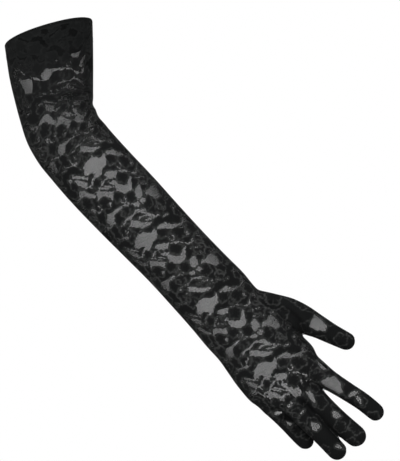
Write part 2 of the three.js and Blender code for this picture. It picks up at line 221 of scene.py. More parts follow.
def smooth_columns(at, table, s):
    """The table's columns at each s, on smooth curves through its rows."""
    i = np.clip(np.searchsorted(at, s) - 1, 0, len(at) - 2)
    slopes = np.gradient(table, at, axis=0)
    span = (at[i + 1] - at[i])[:, None]
    f = np.clip((s - at[i])[:, None] / span, 0, 1)
    beyond = (s - at[i])[:, None] - f * span
    curve = ((2 * f**3 - 3 * f**2 + 1) * table[i] + (f**3 - 2 * f**2 + f) * span * slopes[i]
             + (3 * f**2 - 2 * f**3) * table[i + 1] + (f**3 - f**2) * span * slopes[i + 1])
    end_slope = np.where(beyond < 0, slopes[i], slopes[i + 1])
    return curve + beyond * end_slope


class Limb:
    """A sleeve or finger: sections along a run, each with a middle, an across direction and a size."""

    def __init__(self, name, middles, rows, names, square, reach):
        self.name = name
        self.square = square
        self.reach = reach
        self.rows = rows
        self.names = names
        steps = np.hypot(*np.diff(middles, axis=0).T)
        self.s = np.concatenate([[0], np.cumsum(steps)])
        self.length = self.s[-1]

    def columns(self, s):
        """The table's named columns at each s, on smooth curves."""
        return dict(zip(self.names, smooth_columns(self.s, self.rows, np.asarray(s, float)).T))


class Sleeve(Limb):
    """The sleeve and hand, whose rows give both edges of the outline."""

    def __init__(self):
        rows = np.array(SLEEVE, float)
        middles = (rows[:, 0:2] + rows[:, 2:4]) / 2
        super().__init__("sleeve", middles, rows, SLEEVE_COLUMNS, SLEEVE_SQUARE, HAND_END_REACH)

    def section(self, s):
        """The sleeve's sections at each s."""
        found = self.columns(s)
        little = np.stack([found.pop("little_x"), found.pop("little_z")], axis=1)
        thumb = np.stack([found.pop("thumb_x"), found.pop("thumb_z")], axis=1)
        wide = np.linalg.norm(thumb - little, axis=1)
        return dict(found, at=(little + thumb) / 2, across=unit(thumb - little), half=wide / 2)


class Finger(Limb):
    """A finger, whose rows give its middle and half width."""

    def __init__(self, name, rows):
        rows = np.array(rows, float)
        super().__init__(name, rows[:, 0:2], rows, FINGER_COLUMNS, FINGER_SQUARE, rows[-1, 2])

    def middle(self, s):
        """The places of the finger's middle line at each s."""
        found = self.columns(s)
        return np.stack([found["x"], found["z"]], axis=1)

    def section(self, s):
        """The finger's sections at each s."""
        s = np.asarray(s, float)
        found = self.columns(s)
        run = unit(self.middle(s + 0.5) - self.middle(s - 0.5))
        return dict(at=self.middle(s), across=-along_from(run), half=found["half"],
                    deep=found["half"] * FINGER_FLAT, mid=found["mid"], rise=np.zeros(len(s)))


def place(section, offset, y):
    """The points offset across and y behind the middle of each section, in millimetres."""
    flat = section["at"] + section["across"] * offset[:, None]
    lift = -section["rise"] * y / section["deep"]
    return np.stack([flat[:, 0], section["mid"] + y, flat[:, 1] + lift], axis=1)


limbs = [Sleeve()] + [Finger(name, rows) for name, rows in FINGERS.items()]
sleeve = limbs[0]
print("length of the sleeve and hand", round(sleeve.length), "mm")

# %% [markdown]
# The six forms overlap at the knuckles. Booleans could join them, but they leave hard creases between
# the fingers. A voxel remesh melts them into one skin instead, which is then smoothed so that the webs
# are soft. The grain is fine enough for a petal's edge.

# %% One skin for the whole glove
GRAIN = 1.12
STATION = 2.0
RING = 48
DOME = (15, 30, 45, 60, 75, 86)
CUFF_OVER = 9
SMOOTHING = 6
PULL_IN = 0.5
PUSH_OUT = -0.52


def oval(theta, square):
    """Where a soft oval of size 1 lies at each angle, across and in depth."""
    power = 2 / square
    across = np.sign(np.cos(theta)) * np.abs(np.cos(theta)) ** power
    depth = np.sign(np.sin(theta)) * np.abs(np.sin(theta)) ** power
    return across, depth


def loft(limb):
    """A closed loft of one limb, with a dome at its far end."""
    start = -CUFF_OVER if limb is sleeve else 0
    stations = np.arange(start, limb.length, STATION)
    stations = np.append(stations, limb.length)
    sections = limb.section(stations)
    across, depth = oval(np.linspace(0, 2 * np.pi, RING, endpoint=False), limb.square)
    rings = []
    for k in range(len(stations)):
        one = {key: np.repeat(value[k:k + 1], RING, axis=0) for key, value in sections.items()}
        rings.append((one, 1.0, 0.0))
    last = rings[-1][0]
    for angle in DOME:
        rings.append((last, math.cos(math.radians(angle)), math.sin(math.radians(angle)) * limb.reach))
    points = []
    for one, size, on in rings:
        moved = dict(one, at=one["at"] + along_from(one["across"]) * on)
        points.append(place(moved, across * one["half"] * size, depth * one["deep"] * size))
    faces = []
    for k in range(len(rings) - 1):
        a = k * RING + np.arange(RING)
        b = k * RING + (np.arange(RING) + 1) % RING
        faces.extend(np.stack([a, b, b + RING, a + RING], axis=1).tolist())
    faces.append(list(range(RING))[::-1])
    faces.append([(len(rings) - 1) * RING + k for k in range(RING)])
    return np.concatenate(points), faces


def melted_skin():
    """The union of the limbs as points and triangles, in millimetres."""
    points, faces, start = [], [], 0
    for limb in limbs:
        p, f = loft(limb)
        points.append(p)
        faces.extend([[v + start for v in face] for face in f])
        start += len(p)
    mesh = bpy.data.meshes.new("limbs")
    mesh.from_pydata((np.concatenate(points) * MM).tolist(), [], faces)
    raw = add_object("limbs", mesh)
    remesh = raw.modifiers.new("melt", "REMESH")
    remesh.mode = "VOXEL"
    remesh.voxel_size = GRAIN * MM
    melted = evaluated(raw)
    melted.calc_loop_triangles()
    p = np.empty(len(melted.vertices) * 3)
    melted.vertices.foreach_get("co", p)
    t = np.empty(len(melted.loop_triangles) * 3, dtype=np.int64)
    melted.loop_triangles.foreach_get("vertices", t)
    bpy.data.meshes.remove(melted)
    return p.reshape(-1, 3) / MM, t.reshape(-1, 3)


def sides_of(faces):
    """The three sides of every triangle, as pairs of point numbers."""
    return np.concatenate([faces[:, [0, 1]], faces[:, [1, 2]], faces[:, [2, 0]]])


def relaxed(points, faces):
    """The points smoothed along their edges, with a push back out that keeps the volume."""
    pairs = np.unique(np.sort(sides_of(faces), axis=1), axis=0)
    count = np.bincount(pairs.ravel(), minlength=len(points))[:, None]
    for _ in range(SMOOTHING):
        for pull in (PULL_IN, PUSH_OUT):
            total = np.zeros_like(points)
            np.add.at(total, pairs[:, 0], points[pairs[:, 1]])
            np.add.at(total, pairs[:, 1], points[pairs[:, 0]])
            points = points + pull * (total / np.maximum(count, 1) - points)
    return points


def normals_of(points, faces):
    """The skin's outward direction at each point."""
    a, b, c = points[faces[:, 0]], points[faces[:, 1]], points[faces[:, 2]]
    square = np.cross(b - a, c - a)
    total = np.zeros_like(points)
    for k in range(3):
        np.add.at(total, faces[:, k], square)
    return total / np.maximum(np.linalg.norm(total, axis=1), 1e-12)[:, None]


skin_points, skin_faces = melted_skin()
skin_points = relaxed(skin_points, skin_faces)
print("skin:", len(skin_points), "points,", len(skin_faces), "triangles")

# %% [markdown]
# Every point of the skin is now told where it lies on its limb: s along the run and t around it from
# the middle of the panel. From these come the lace's own directions, which run on over the knuckles
# into the fingers, and the mid surface where the two panels meet. An unwrapped map could do the same,
# but it would pull the flowers out of shape where the limbs meet.

# %% The cloth's own directions
ANCHORS = {"thumb": 356.0, "index": 412.0, "middle": 412.0, "ring": 412.0, "little": 412.0}
CHART_SHIFT = 2.0
FINGER_START = 4
SAMPLE_ANGLE = 12
SAMPLED_REACH = 0.9
DOME_MOST = 0.98
REFINED = 4
TURN_LEAST = 0.25
TURN_MOST = 3
STEP_MOST = 4


def nearest_limb(points):
    """For each point, the limb it lies on and a first guess of s."""
    samples, owners, runs = [], [], []
    for number, limb in enumerate(limbs):
        start = -CUFF_OVER if limb is sleeve else FINGER_START
        stations = np.arange(start, limb.length + SAMPLED_REACH * limb.reach, STATION)
        for angle in np.radians(np.arange(-90, 270, SAMPLE_ANGLE)):
            within = np.clip(stations, None, limb.length)
            section = limb.section(within)
            over = np.clip((stations - limb.length) / limb.reach, 0, DOME_MOST)
            size = np.sqrt(1 - over**2)
            run = along_from(section["across"])
            section["at"] = section["at"] + run * (stations - within)[:, None]
            u = np.sin(angle) * section["half"] * size
            y = np.cos(angle) * section["deep"] * size
            samples.append(place(section, u, y))
            owners.append(np.full(len(stations), number))
            runs.append(stations)
    samples = np.concatenate(samples)
    tree = kdtree.KDTree(len(samples))
    for k, p in enumerate(samples.tolist()):
        tree.insert(p, k)
    tree.balance()
    found = np.array([tree.find(p)[1] for p in points.tolist()])
    return np.concatenate(owners)[found], np.concatenate(runs)[found]


def along_limb(limb, points, s):
    """Refines s so that each point lies on its section's line, and gives s, u and the section."""
    for _ in range(REFINED):
        section = limb.section(np.minimum(s, limb.length))
        over = np.maximum(s - limb.length, 0)
        run = along_from(section["across"])
        at = section["at"] + run * over[:, None]
        y = points[:, 1] - section["mid"]
        flat = np.stack([points[:, 0], points[:, 2] + section["rise"] * y / section["deep"]], axis=1)
        u = np.sum((flat - at) * section["across"], axis=1)
        off = np.sum((flat - at) * run, axis=1)
        ahead = limb.section(np.minimum(s + 1, limb.length + 1))
        turn = np.sum(((ahead["at"] + ahead["across"] * u[:, None])
                       - (section["at"] + section["across"] * u[:, None])) * run, axis=1)
        s = s + np.clip(off / np.clip(turn, TURN_LEAST, TURN_MOST), -STEP_MOST, STEP_MOST)
    return s, u, section


def cloth_directions(points):
    """Columns t, s, edge, side and limb of each point: the lace's directions and the panel's place."""
    owner, first = nearest_limb(points)
    out = {key: np.zeros(len(points)) for key in ("t", "s", "edge", "side", "run")}
    for number, limb in enumerate(limbs):
        mine = owner == number
        s, u, section = along_limb(limb, points[mine], first[mine].astype(float))
        half = section["half"]
        around = half * np.arcsin(np.clip(u / half, -1, 1))
        over = np.maximum(s - limb.length, 0)
        if limb is sleeve:
            t = around - section["drift"] + CHART_SHIFT
            along = section["lace"] + section["skew"] * t + section["bow"] * around**2
            along += over
        else:
            anchor = sleeve.section(np.array([ANCHORS[limb.name]]))
            ahead = along_from(section["across"])
            flat = section["at"] + ahead * over[:, None] + section["across"] * around[:, None]
            t = (flat - anchor["at"]) @ anchor["across"][0] - anchor["drift"] + CHART_SHIFT
            along = (flat - anchor["at"]) @ along_from(anchor["across"])[0] + anchor["lace"]
        out["t"][mine] = t
        out["s"][mine] = along
        out["run"][mine] = s
        out["edge"][mine] = half * np.pi / 2 - np.abs(around)
        out["side"][mine] = points[mine, 1] - section["mid"]
    out["limb"] = owner
    return out


def matched_palm(points, cloth):
    """The palm's lace laid so that its repeat stands behind the back's, as two layers cut together."""
    mirrored = points.copy()
    mirrored[:, 1] -= 2 * cloth["side"]
    over_back = cloth_directions(mirrored)
    palm = cloth["side"] > 0
    for key in ("t", "s"):
        cloth[key] = np.where(palm, over_back[key], cloth[key])
    return cloth


skin_cloth = matched_palm(skin_points, cloth_directions(skin_points))
for number, limb in enumerate(limbs):
    print(limb.name, int(np.sum(skin_cloth["limb"] == number)), "points")

# %% [markdown]
# Lace on an arm is never quite smooth: it creases in the crook of the elbow, at the wrist and round the
# root of the thumb. A cloth simulation could find folds, but not these ones, so each is charted as a
# row: where it runs on the sleeve, how deep it is and how wide.

# %% Folds and creases
FRONT = -1
BOTH = 0
FOLD_BOW = 0.012
SWELL = 0.5
SIDE_SOFT = 2

# Each fold's middle x and z, its lean in degrees, its length, width and depth, and the side it is on.
FOLDS = (
    (36, -82, 12, 22, 3.2, 1.6, BOTH),
    (30, -92, -8, 26, 3.6, 1.5, BOTH),
    (38, -70, 25, 18, 3.0, 1.1, BOTH),
    (20, -104, -25, 22, 4.0, 1.0, BOTH),
    (210, -259, -18, 28, 2.6, 1.8, FRONT),
    (231, -269, -34, 24, 2.8, 2.8, FRONT),
    (242, -281, -72, 20, 3.0, 2.8, FRONT),
    (168, -268, 44, 22, 4.0, 0.8, BOTH),
    (178, -280, 40, 20, 3.6, 0.8, BOTH),
    (254, -338, -32, 18, 2.2, 1.8, FRONT),
    (248, -359, -50, 28, 2.2, 2.0, FRONT),
    (227, -368, -37, 42, 2.4, 2.4, FRONT),
)


def leaning(points, x, z, lean):
    """How far each point is from (x, z), along a line that leans by some degrees and over from it."""
    angle = math.radians(lean)
    dx, dz = points[:, 0] - x, points[:, 2] - z
    along = dx * math.cos(angle) + dz * math.sin(angle)
    over = dz * math.cos(angle) - dx * math.sin(angle)
    return along, over


def pressed_folds(points, faces, cloth):
    """Presses each crease into the skin, with a low swell on both sides of it."""
    outward = normals_of(points, faces)
    press = np.zeros(len(points))
    for x, z, lean, long, wide, deep, side in FOLDS:
        along, over = leaning(points, x, z, lean)
        over = over + FOLD_BOW * along**2
        fade = np.exp(-(along / (long / 2)) ** 2)
        swell = np.exp(-((np.abs(over) - 2 * wide) / wide) ** 2)
        dent = np.exp(-(over / wide) ** 2) - SWELL * swell
        on_side = 1.0 if side == BOTH else 1 / (1 + np.exp(-side * cloth["side"] / SIDE_SOFT))
        press += deep * fade * dent * on_side
    return points - outward * press[:, None]


folded_points = pressed_folds(skin_points, skin_faces, skin_cloth)
print(len(FOLDS), "folds, up to", round(float(np.abs(folded_points - skin_points).max()), 1), "mm deep")

# %% [markdown]
# A skin is cut along a line by splitting each triangle that the line crosses. The same small routine
# trims the cuff, parts the two panels along the outline, and later cuts the lace out of the panels. A
# boolean could cut it too, but it would lose the columns, which this one carries over to each new point.

# %% Cutting along a line
TINY = 1e-9
FAR_OFF = 1e3
NEAR_CORNER = 0.06
PANEL_START = 1.9


def cut(points, faces, columns, value):
    """Splits the skin where value changes sign. Gives the points, their columns, the faces where it is
    positive, the other faces, and the edges of the line."""
    value = np.where(np.abs(value) < TINY, TINY, value)
    inside = value > 0
    lone = np.zeros(len(faces), int) - 1
    flags = inside[faces]
    for k in range(3):
        odd = (flags[:, k] != flags[:, (k + 1) % 3]) & (flags[:, k] != flags[:, (k + 2) % 3])
        lone[odd] = k
    crossed = lone >= 0
    tri, k = faces[crossed], lone[crossed]
    rows = np.arange(len(tri))
    a, b, c = tri[rows, k], tri[rows, (k + 1) % 3], tri[rows, (k + 2) % 3]
    pairs = np.sort(np.concatenate([np.stack([a, b], 1), np.stack([a, c], 1)]), axis=1)
    edges, index = np.unique(pairs, axis=0, return_inverse=True)
    index = index.reshape(-1)
    f = value[edges[:, 0]] / (value[edges[:, 0]] - value[edges[:, 1]])
    f = np.clip(f, NEAR_CORNER, 1 - NEAR_CORNER)[:, None]

    def between(data):
        """The data with a row added for each crossed edge."""
        flat = data.reshape(len(data), -1)
        made = flat[edges[:, 0]] * (1 - f) + flat[edges[:, 1]] * f
        return np.concatenate([flat, made]).reshape((-1,) + data.shape[1:])

    new_points = between(points)
    new_columns = {key: between(np.asarray(data, float)) for key, data in columns.items()}
    p = index[:len(tri)] + len(points)
    q = index[len(tri):] + len(points)
    near = np.stack([a, p, q], 1)
    far = np.concatenate([np.stack([p, b, c], 1), np.stack([p, c, q], 1)])
    near_in = inside[a]
    far_in = np.concatenate([~near_in, ~near_in])
    whole = faces[~crossed]
    whole_in = inside[whole[:, 0]]
    kept = np.concatenate([whole[whole_in], near[near_in], far[far_in]])
    other = np.concatenate([whole[~whole_in], near[~near_in], far[~far_in]])
    return new_points, new_columns, kept, other, np.stack([p, q], 1)


def tidy(points, faces, columns):
    """Drops the points that no face uses."""
    used, index = np.unique(faces, return_inverse=True)
    return points[used], index.reshape(faces.shape), {key: data[used] for key, data in columns.items()}


skin_cloth["normal"] = normals_of(folded_points, skin_faces)
below_rim = np.where(skin_cloth["limb"] == 0, skin_cloth["run"], FAR_OFF) - PANEL_START
cloth_points, cloth, kept, _, _ = cut(folded_points, skin_faces, skin_cloth, below_rim)
cloth_points, kept, cloth = tidy(cloth_points, kept, cloth)
cloth_points, cloth, palm_faces, back_faces, seam_edges = cut(cloth_points, kept, cloth, cloth["side"])
print("back panel", len(back_faces), "palm panel", len(palm_faces), "triangles,",
      len(seam_edges), "seam edges")

# %% [markdown]
# The lace's repeat is charted as a lace maker does on squared paper, in millimetres: t around the
# glove and s along it. A picture of lace could be a mask, but a chart stays sharp at any size. The
# cloth between the flowers is sheer net, so the chart lists the sheer windows, the thin sheer lines
# that part the petals, the little rings, and the petals that stand up. A line's first number is half
# its width. Rings, eyelets and petals are rows of t, s and radius.

# %% The lace chart
REPEAT_T = 78.0
REPEAT_S = 84.7
WINDOWS = {
    "bay": ((-14, 141), (-10.5, 138), (-7.5, 135), (-2.5, 134.2), (3, 134.6), (6.5, 137), (9.5, 140),
            (13, 140.5), (15.5, 138.5), (16, 141), (14, 145.5), (11, 148), (6, 148.4), (2.7, 150),
            (1, 152), (-1, 151), (-3, 148), (-4.5, 145.5), (-6.5, 144), (-9, 144.6), (-11.5, 143)),
    "splinter": ((-27, 133.8), (-24.5, 133.8), (-19, 138), (-15, 141.3), (-10.7, 145.5),
                 (-12.5, 146), (-16.5, 143), (-21.5, 138.8), (-25.3, 136)),
    "patch": ((-33, 134.7), (-27.5, 135.5), (-27, 138), (-32.3, 138)),
    "band": ((-26, 138), (-22.3, 139.7), (-16.5, 145.5), (-14.8, 148.8), (-19, 150),
             (-23, 147.5), (-24.8, 143.8)),
    "sickle": ((-43, 155.5), (-39, 153.8), (-34, 151.3), (-32.3, 149.7), (-25.7, 148.8),
               (-22.3, 151), (-21, 153.8), (-19, 158), (-16, 161.8), (-18.2, 163.8), (-21.5, 161.3),
               (-24.8, 158), (-26.5, 154.7), (-31.5, 154.7), (-36.5, 154.7), (-40.7, 156.3)),
    "kite": ((2.7, 153.8), (6, 152.2), (9.3, 153.8), (13.5, 157.2), (16.4, 159.3), (13.5, 161.3),
             (10.2, 163), (7.7, 160.5), (4.8, 158)),
    "wedge": ((16, 141.3), (19.3, 140.5), (28.5, 142.2), (29.3, 144.7), (32.7, 148.8),
              (43.5, 153.8), (42.7, 154.7), (36, 153), (29.3, 151.3), (25.2, 148), (21.8, 144.7),
              (18.5, 143)),
    "arch": ((-19, 166.8), (-15.7, 163.4), (-13.2, 161), (-9.8, 161.8), (-6.5, 164.7),
             (-3.2, 168.8), (0.2, 171.3), (-2.3, 172.2), (-4.8, 175.5), (-6.5, 176.3), (-7.3, 173),
             (-9, 168.8), (-11.5, 167.2), (-14.8, 166.8), (-18.2, 168)),
    "chevron": ((-2.3, 170), (2.7, 173), (3.5, 168.8), (6, 167.2), (8.5, 169.7), (10.2, 173),
                (13.5, 175.5), (16, 173.8), (20.2, 172.2), (23.5, 170.5), (24.3, 172.2),
                (20.2, 175.5), (17.7, 178.8), (13.5, 182.2), (10.2, 181.3), (6, 180.1),
                (4.3, 177.2), (2.7, 174.7)),
    "small": ((-12.8, 177.2), (-10.7, 175.9), (-8.2, 176.8), (-9, 178.4), (-11.5, 179.3),
              (-13, 178.4)),
    "brow": ((-27.3, 188.8), (-24, 185.5), (-21.5, 183.4), (-16.5, 184.7), (-10.7, 185.5),
             (-4.8, 185.9), (-2.8, 187.6), (-4.8, 189.3), (-8.2, 188.8), (-12.3, 188.4),
             (-15.7, 190.1), (-17.8, 192.6), (-18.2, 195.5), (-21.5, 195.5), (-24.8, 193.4),
             (-27, 191.3)),
    "chip": ((6, 192.2), (9.3, 193.8), (12.7, 194.3), (13.5, 198), (11, 198.8), (8.5, 197),
             (6.8, 194.7)),
    "leaf": ((16.8, 183.8), (21.8, 183.4), (24.3, 183.8), (22.7, 188), (22.7, 190.5), (20.2, 193),
             (16, 193.8), (13.5, 193), (13.5, 188.8), (16, 186.3)),
    "flake": ((14.3, 195.1), (18.5, 194.3), (21, 197.2), (20.2, 199.3), (16, 200.1), (14.8, 198)),
    "shield": ((21, 196.3), (23.5, 193.4), (26.8, 191.3), (29.3, 193), (32.7, 192.6), (36, 191.8),
               (41, 193), (43, 198), (41, 203.8), (39.3, 205.5), (33.5, 205.5), (31, 203),
               (29.3, 199.7), (26.8, 195.9), (24.3, 195.1)),
    "ribbon": ((2.7, 127.6), (6, 126.3), (9.3, 128.8), (14.3, 131.8), (17.7, 133.8), (15.2, 134.7),
               (10.2, 133.4), (5.2, 131.3), (3.1, 129.7)),
    "spray": ((2.7, 162.6), (6, 163.4), (9.3, 166.3), (5.2, 168), (2.7, 165.5)),
    "strip": ((25.2, 167.2), (28.5, 170.5), (31, 171.3), (39.3, 169.7), (36, 173), (29.3, 173.8),
              (26.8, 172.2)),
    "slip": ((-5, 207), (-2, 203), (2, 206), (6, 211), (8, 214), (4, 214.5), (0, 212)),
}
SHEER_LINES = (
    (1.0, ((-15, 151.7), (-11, 151.3), (-9, 149.3), (-4, 148.4), (-2.3, 151))),
    (0.7, ((-20.7, 150.5), (-15.7, 151.3), (-14.4, 153), (-14.8, 155.5))),
    (0.8, ((-15.7, 159.7), (-9, 160.5), (-4.8, 158.8), (1, 157.2), (6, 158.4))),
    (0.7, ((-7.3, 160.5), (-1.5, 167.2))),
    (0.8, ((-4, 161), (2, 168))),
    (0.9, ((17.7, 160.5), (19.3, 163), (22.7, 163.8), (25.2, 167.2))),
    (0.8, ((-37.3, 190.5), (-27.3, 194.7), (-21.5, 195))),
    (0.8, ((-2.3, 188), (1.8, 190.5), (4.3, 190.5))),
    (1.0, ((-10.7, 201.3), (-6.5, 199.7), (-1.5, 201.3), (1.8, 201.3), (6, 199.7), (9.3, 202),
           (16, 205.5))),
    (0.7, ((-9.8, 124.3), (-7.3, 122.6), (-3.2, 122.2), (0.2, 124.3), (4.3, 124.7), (6.8, 123))),
    (0.8, ((6.8, 122.2), (12.7, 124.3), (17.7, 127.2), (22.7, 130.5))),
    (0.7, ((11, 119.7), (16, 123.8), (21, 128.8))),
    (0.7, ((11.8, 128), (17.7, 130.5), (22.7, 132.2), (26.8, 131.8))),
    (0.7, ((-32.3, 126), (-27, 126.5))),
    (0.7, ((-28, 123), (-22.3, 126.3), (-18.2, 127.2), (-15.7, 128.8), (-12.3, 129.7))),
    (0.7, ((24.3, 182.2), (28.5, 185.5), (33.5, 188.8))),
    (0.7, ((26, 176.3), (36, 181.3))),
    (0.8, ((29.8, 136.8), (36, 138))),
)
RINGS = (
    (21.4, 157.2, 2.5), (-25.2, 173.5, 3.6), (1.4, 184.3, 2.6), (4.5, 161.5, 2.2), (-15, 124.5, 3),
)
EYELETS = ((-41, 163.5, 2.5), (-31.5, 171.3, 2.5))
PETALS = (
    (2, 127, 6.5), (-10, 131, 5), (19, 147, 6), (32, 157, 8), (16, 167, 6.5), (-14, 174, 6.5),
    (0, 178, 6), (-28, 183, 8), (9, 187, 6), (-12, 195, 7.5), (-3, 194, 5), (-12, 207, 7),
    (21, 201, 7), (27, 187, 5), (-28, 142, 6), (-30, 162, 7), (35, 180, 7), (36, 126, 6),
    (-34, 200, 6), (-38, 174, 5), (-7, 154, 5), (30, 130, 5),
)
print("charted:", len(WINDOWS), "windows,", len(SHEER_LINES), "sheer lines,",
      len(RINGS) + len(EYELETS), "rings and eyelets,", len(PETALS), "petals")

# %% [markdown]
# The chart is read as a height: positive in the flowers, negative where the cloth is sheer, about in
# millimetres from the edge. Gentle waves make the cut edges ragged, as cut lace is. The thin channels
# round the petals are broken wherever petals hold together.

# %% Reading the chart
WAVE = 0.45
SMALL_WAVE = 0.3
RING_HALF = 0.55
RING_GAP_AT = -1.4
RING_GAP_HALF = 0.5
CHANNEL = 0.3
CHANNEL_HELD = 0.25
CHANNEL_LOBES = (5, 0.1)
SMALL_LOBES = (9, 0.05)


def wrapped(t, s, t0, s0):
    """The way from (t0, s0) to the nearest repeat of (t, s)."""
    dt = (t - t0 + REPEAT_T / 2) % REPEAT_T - REPEAT_T / 2
    ds = (s - s0 + REPEAT_S / 2) % REPEAT_S - REPEAT_S / 2
    return dt, ds


def seen_from(spots, t, s):
    """For each charted spot: its place and radius, then how far off and at what angle each point is."""
    for t0, s0, radius in spots:
        dt, ds = wrapped(t, s, t0, s0)
        yield t0, s0, radius, np.hypot(dt, ds), np.arctan2(ds, dt)


def lobes(shape, around, turn):
    """How far a round form swells out at each angle. Its shape is how many lobes and how deep."""
    number, deep = shape
    return deep * np.cos(number * around + turn)


def to_segment(dt, ds, a, b):
    """The distance from each point to the straight line from a to b."""
    ab = np.subtract(b, a)
    f = np.clip(((dt - a[0]) * ab[0] + (ds - a[1]) * ab[1]) / (ab @ ab), 0, 1)
    return np.hypot(dt - a[0] - f * ab[0], ds - a[1] - f * ab[1])


def outside_window(t, s, outline):
    """How far each point lies outside a charted outline, negative inside."""
    corners = np.array(outline, float)
    middle = corners.mean(axis=0)
    dt, ds = wrapped(t, s, *middle)
    corners = corners - middle
    distance = np.full(len(t), np.inf)
    inside = np.zeros(len(t), bool)
    for a, b in zip(corners, np.roll(corners, -1, axis=0)):
        distance = np.minimum(distance, to_segment(dt, ds, a, b))
        crosses = (a[1] > ds) != (b[1] > ds)
        rise = b[1] - a[1] if b[1] != a[1] else TINY
        inside ^= crosses & (dt < (b[0] - a[0]) * (ds - a[1]) / rise + a[0])
    return np.where(inside, -distance, distance)


def outside_line(t, s, line, half):
    """How far each point lies outside a thin sheer line."""
    middle = np.mean(line, axis=0)
    dt, ds = wrapped(t, s, *middle)
    moved = [np.subtract(p, middle) for p in line]
    distance = np.full(len(t), np.inf)
    for a, b in zip(moved, moved[1:]):
        distance = np.minimum(distance, to_segment(dt, ds, a, b))
    return distance - half


def petal_channels(t, s):
    """The thin sheer line round each petal, broken where petals hold together."""
    value = np.full(len(t), np.inf)
    for t0, s0, radius, far, around in seen_from(PETALS, t, s):
        size = radius * (1 + lobes(CHANNEL_LOBES, around, t0) + lobes(SMALL_LOBES, around, s0))
        held = np.sin(around * 1.5 + 0.9 * t0 + s0) > CHANNEL_HELD
        value = np.minimum(value, np.where(held, FAR_OFF, np.abs(far - size) - CHANNEL))
    return value


def lace_value(t, s):
    """Positive in the flowers, negative in the sheer net, about in millimetres from the edge."""
    wave_t = t + WAVE * np.sin(s * 1.9) + SMALL_WAVE * np.sin(s * 0.8 + t * 1.1)
    wave_s = s + WAVE * np.sin(t * 2.1 + 0.7) + SMALL_WAVE * np.sin(t * 0.7 - s * 0.9)
    value = petal_channels(t, s)
    for outline in WINDOWS.values():
        value = np.minimum(value, outside_window(wave_t, wave_s, outline))
    for half, line in SHEER_LINES:
        value = np.minimum(value, outside_line(wave_t, wave_s, line, half))
    for _, _, radius, far, around in seen_from(RINGS, t, s):
        gap = np.abs(around - RING_GAP_AT) < RING_GAP_HALF
        value = np.minimum(value, np.where(gap, FAR_OFF, np.abs(far - radius) - RING_HALF))
    for _, _, radius, far, _ in seen_from(EYELETS, wave_t, wave_s):
        value = np.minimum(value, far - radius)
    return value


one_repeat = [way.ravel() for way in np.meshgrid(np.arange(REPEAT_T), np.arange(REPEAT_S))]
print("sheer share of one repeat", round(float(np.mean(lace_value(*one_repeat) < 0)), 2))

# %% [markdown]
# The flowers stand up a little: each petal is a low dome with fine ribs from its middle. Its edge and
# its rays get a painted sheen highlight in a paler grey, which comes and goes. It hardly shows by the
# cuff, where the lace is close, and shows fully from the elbow on.

# %% Relief and painted sheen
RELIEF_LOBES = (6, 0.07)
PETAL_RIBS = 12
RIB_HIGH = 0.25
VEIN_LOBES = (5, 0.12)
EDGE_WIDE = 0.09
RAYS = 7
RAY_WIDE = 0.22
RAY_BRIGHT = 1.2
RAYS_FROM = 0.25
RAYS_FULL = 0.5
# How strongly the painted sheen highlight on the veins shows, and how much it comes and goes.
SHEEN_MEAN = 0.55
SHEEN_WANDER = 0.45
VEINS_FROM = -12
VEINS_OVER = 100
VEINS_LEAST = 0.12


def petal_relief(t, s):
    """How far the flowers stand up: from 0 at a petal's edge to 1 over its middle."""
    relief = np.zeros(len(t))
    for t0, _, radius, far, around in seen_from(PETALS, t, s):
        near = far / (radius * (1 + lobes(RELIEF_LOBES, around, t0)))
        dome = np.clip(1 - near**2, 0, 1) ** 0.5
        ribs = RIB_HIGH * np.cos(PETAL_RIBS * around) * np.clip(near, 0, 1) * (near < 1)
        relief = np.maximum(relief, dome - ribs * dome)
    return relief


def petal_vein_sheen(t, s):
    """From 0 to 1: the painted sheen highlight along petals' edges and rays."""
    vein_sheen = np.zeros(len(t))
    for t0, s0, radius, far, around in seen_from(PETALS, t, s):
        near = far / (radius * (1 + lobes(VEIN_LOBES, around, t0)))
        edge = np.exp(-((near - 1) / EDGE_WIDE) ** 2)
        rays = np.exp(-(np.sin(RAYS / 2 * around + s0) / RAY_WIDE) ** 2)
        rays = rays * np.clip(near - RAYS_FROM, 0, RAYS_FULL) * (near < 1)
        vein_sheen = np.maximum(vein_sheen, np.maximum(edge, RAY_BRIGHT * rays))
    wander = np.sin(t * 1.3 + 2 * np.sin(s * 0.6)) * np.sin(s * 1.1 + 1.7 * np.sin(t * 0.5))
    return np.clip(vein_sheen * (SHEEN_MEAN + SHEEN_WANDER * wander), 0, 1)


def vein_sheen_shown(s):
    """How far the painted sheen highlight shows at each s, from 0 to 1."""
    return np.clip((s - VEINS_FROM) / VEINS_OVER, VEINS_LEAST, 1)


print("petals cover", round(float(np.mean(petal_relief(*one_repeat) > 0)), 2), "of one repeat")

# %% [markdown]
# The lace is cut from each panel where the chart turns sheer. A see-through texture could show the
# holes, but cut ones have real edges that catch the light. A firm strip stays along the outline and
# under the hem, where the cloth is caught in the seam. The cloth is closer under the hem, a little
# closer at the wrist and as charted over the hand. The fingers are closest and darkest, because the
# lace is hardly stretched there, and their few sheer places are charted as the photograph shows them.

# %% Cut the flowers out of the panels
SEAM_STRIP = 1.6
HEM_STRIP = 2.0
FINGER_CLOSER = 8
RAGGED = 0.14
SMALL_RAGGED = 0.08

# How much closer the lace gets, in millimetres: by how much, from where on and over what length.
WRIST_CLOSER = (0.4, 230, 60)
HAND_CLOSER = (-0.42, 335, 40)
HEM_CLOSER = (0.45, -26, 6)

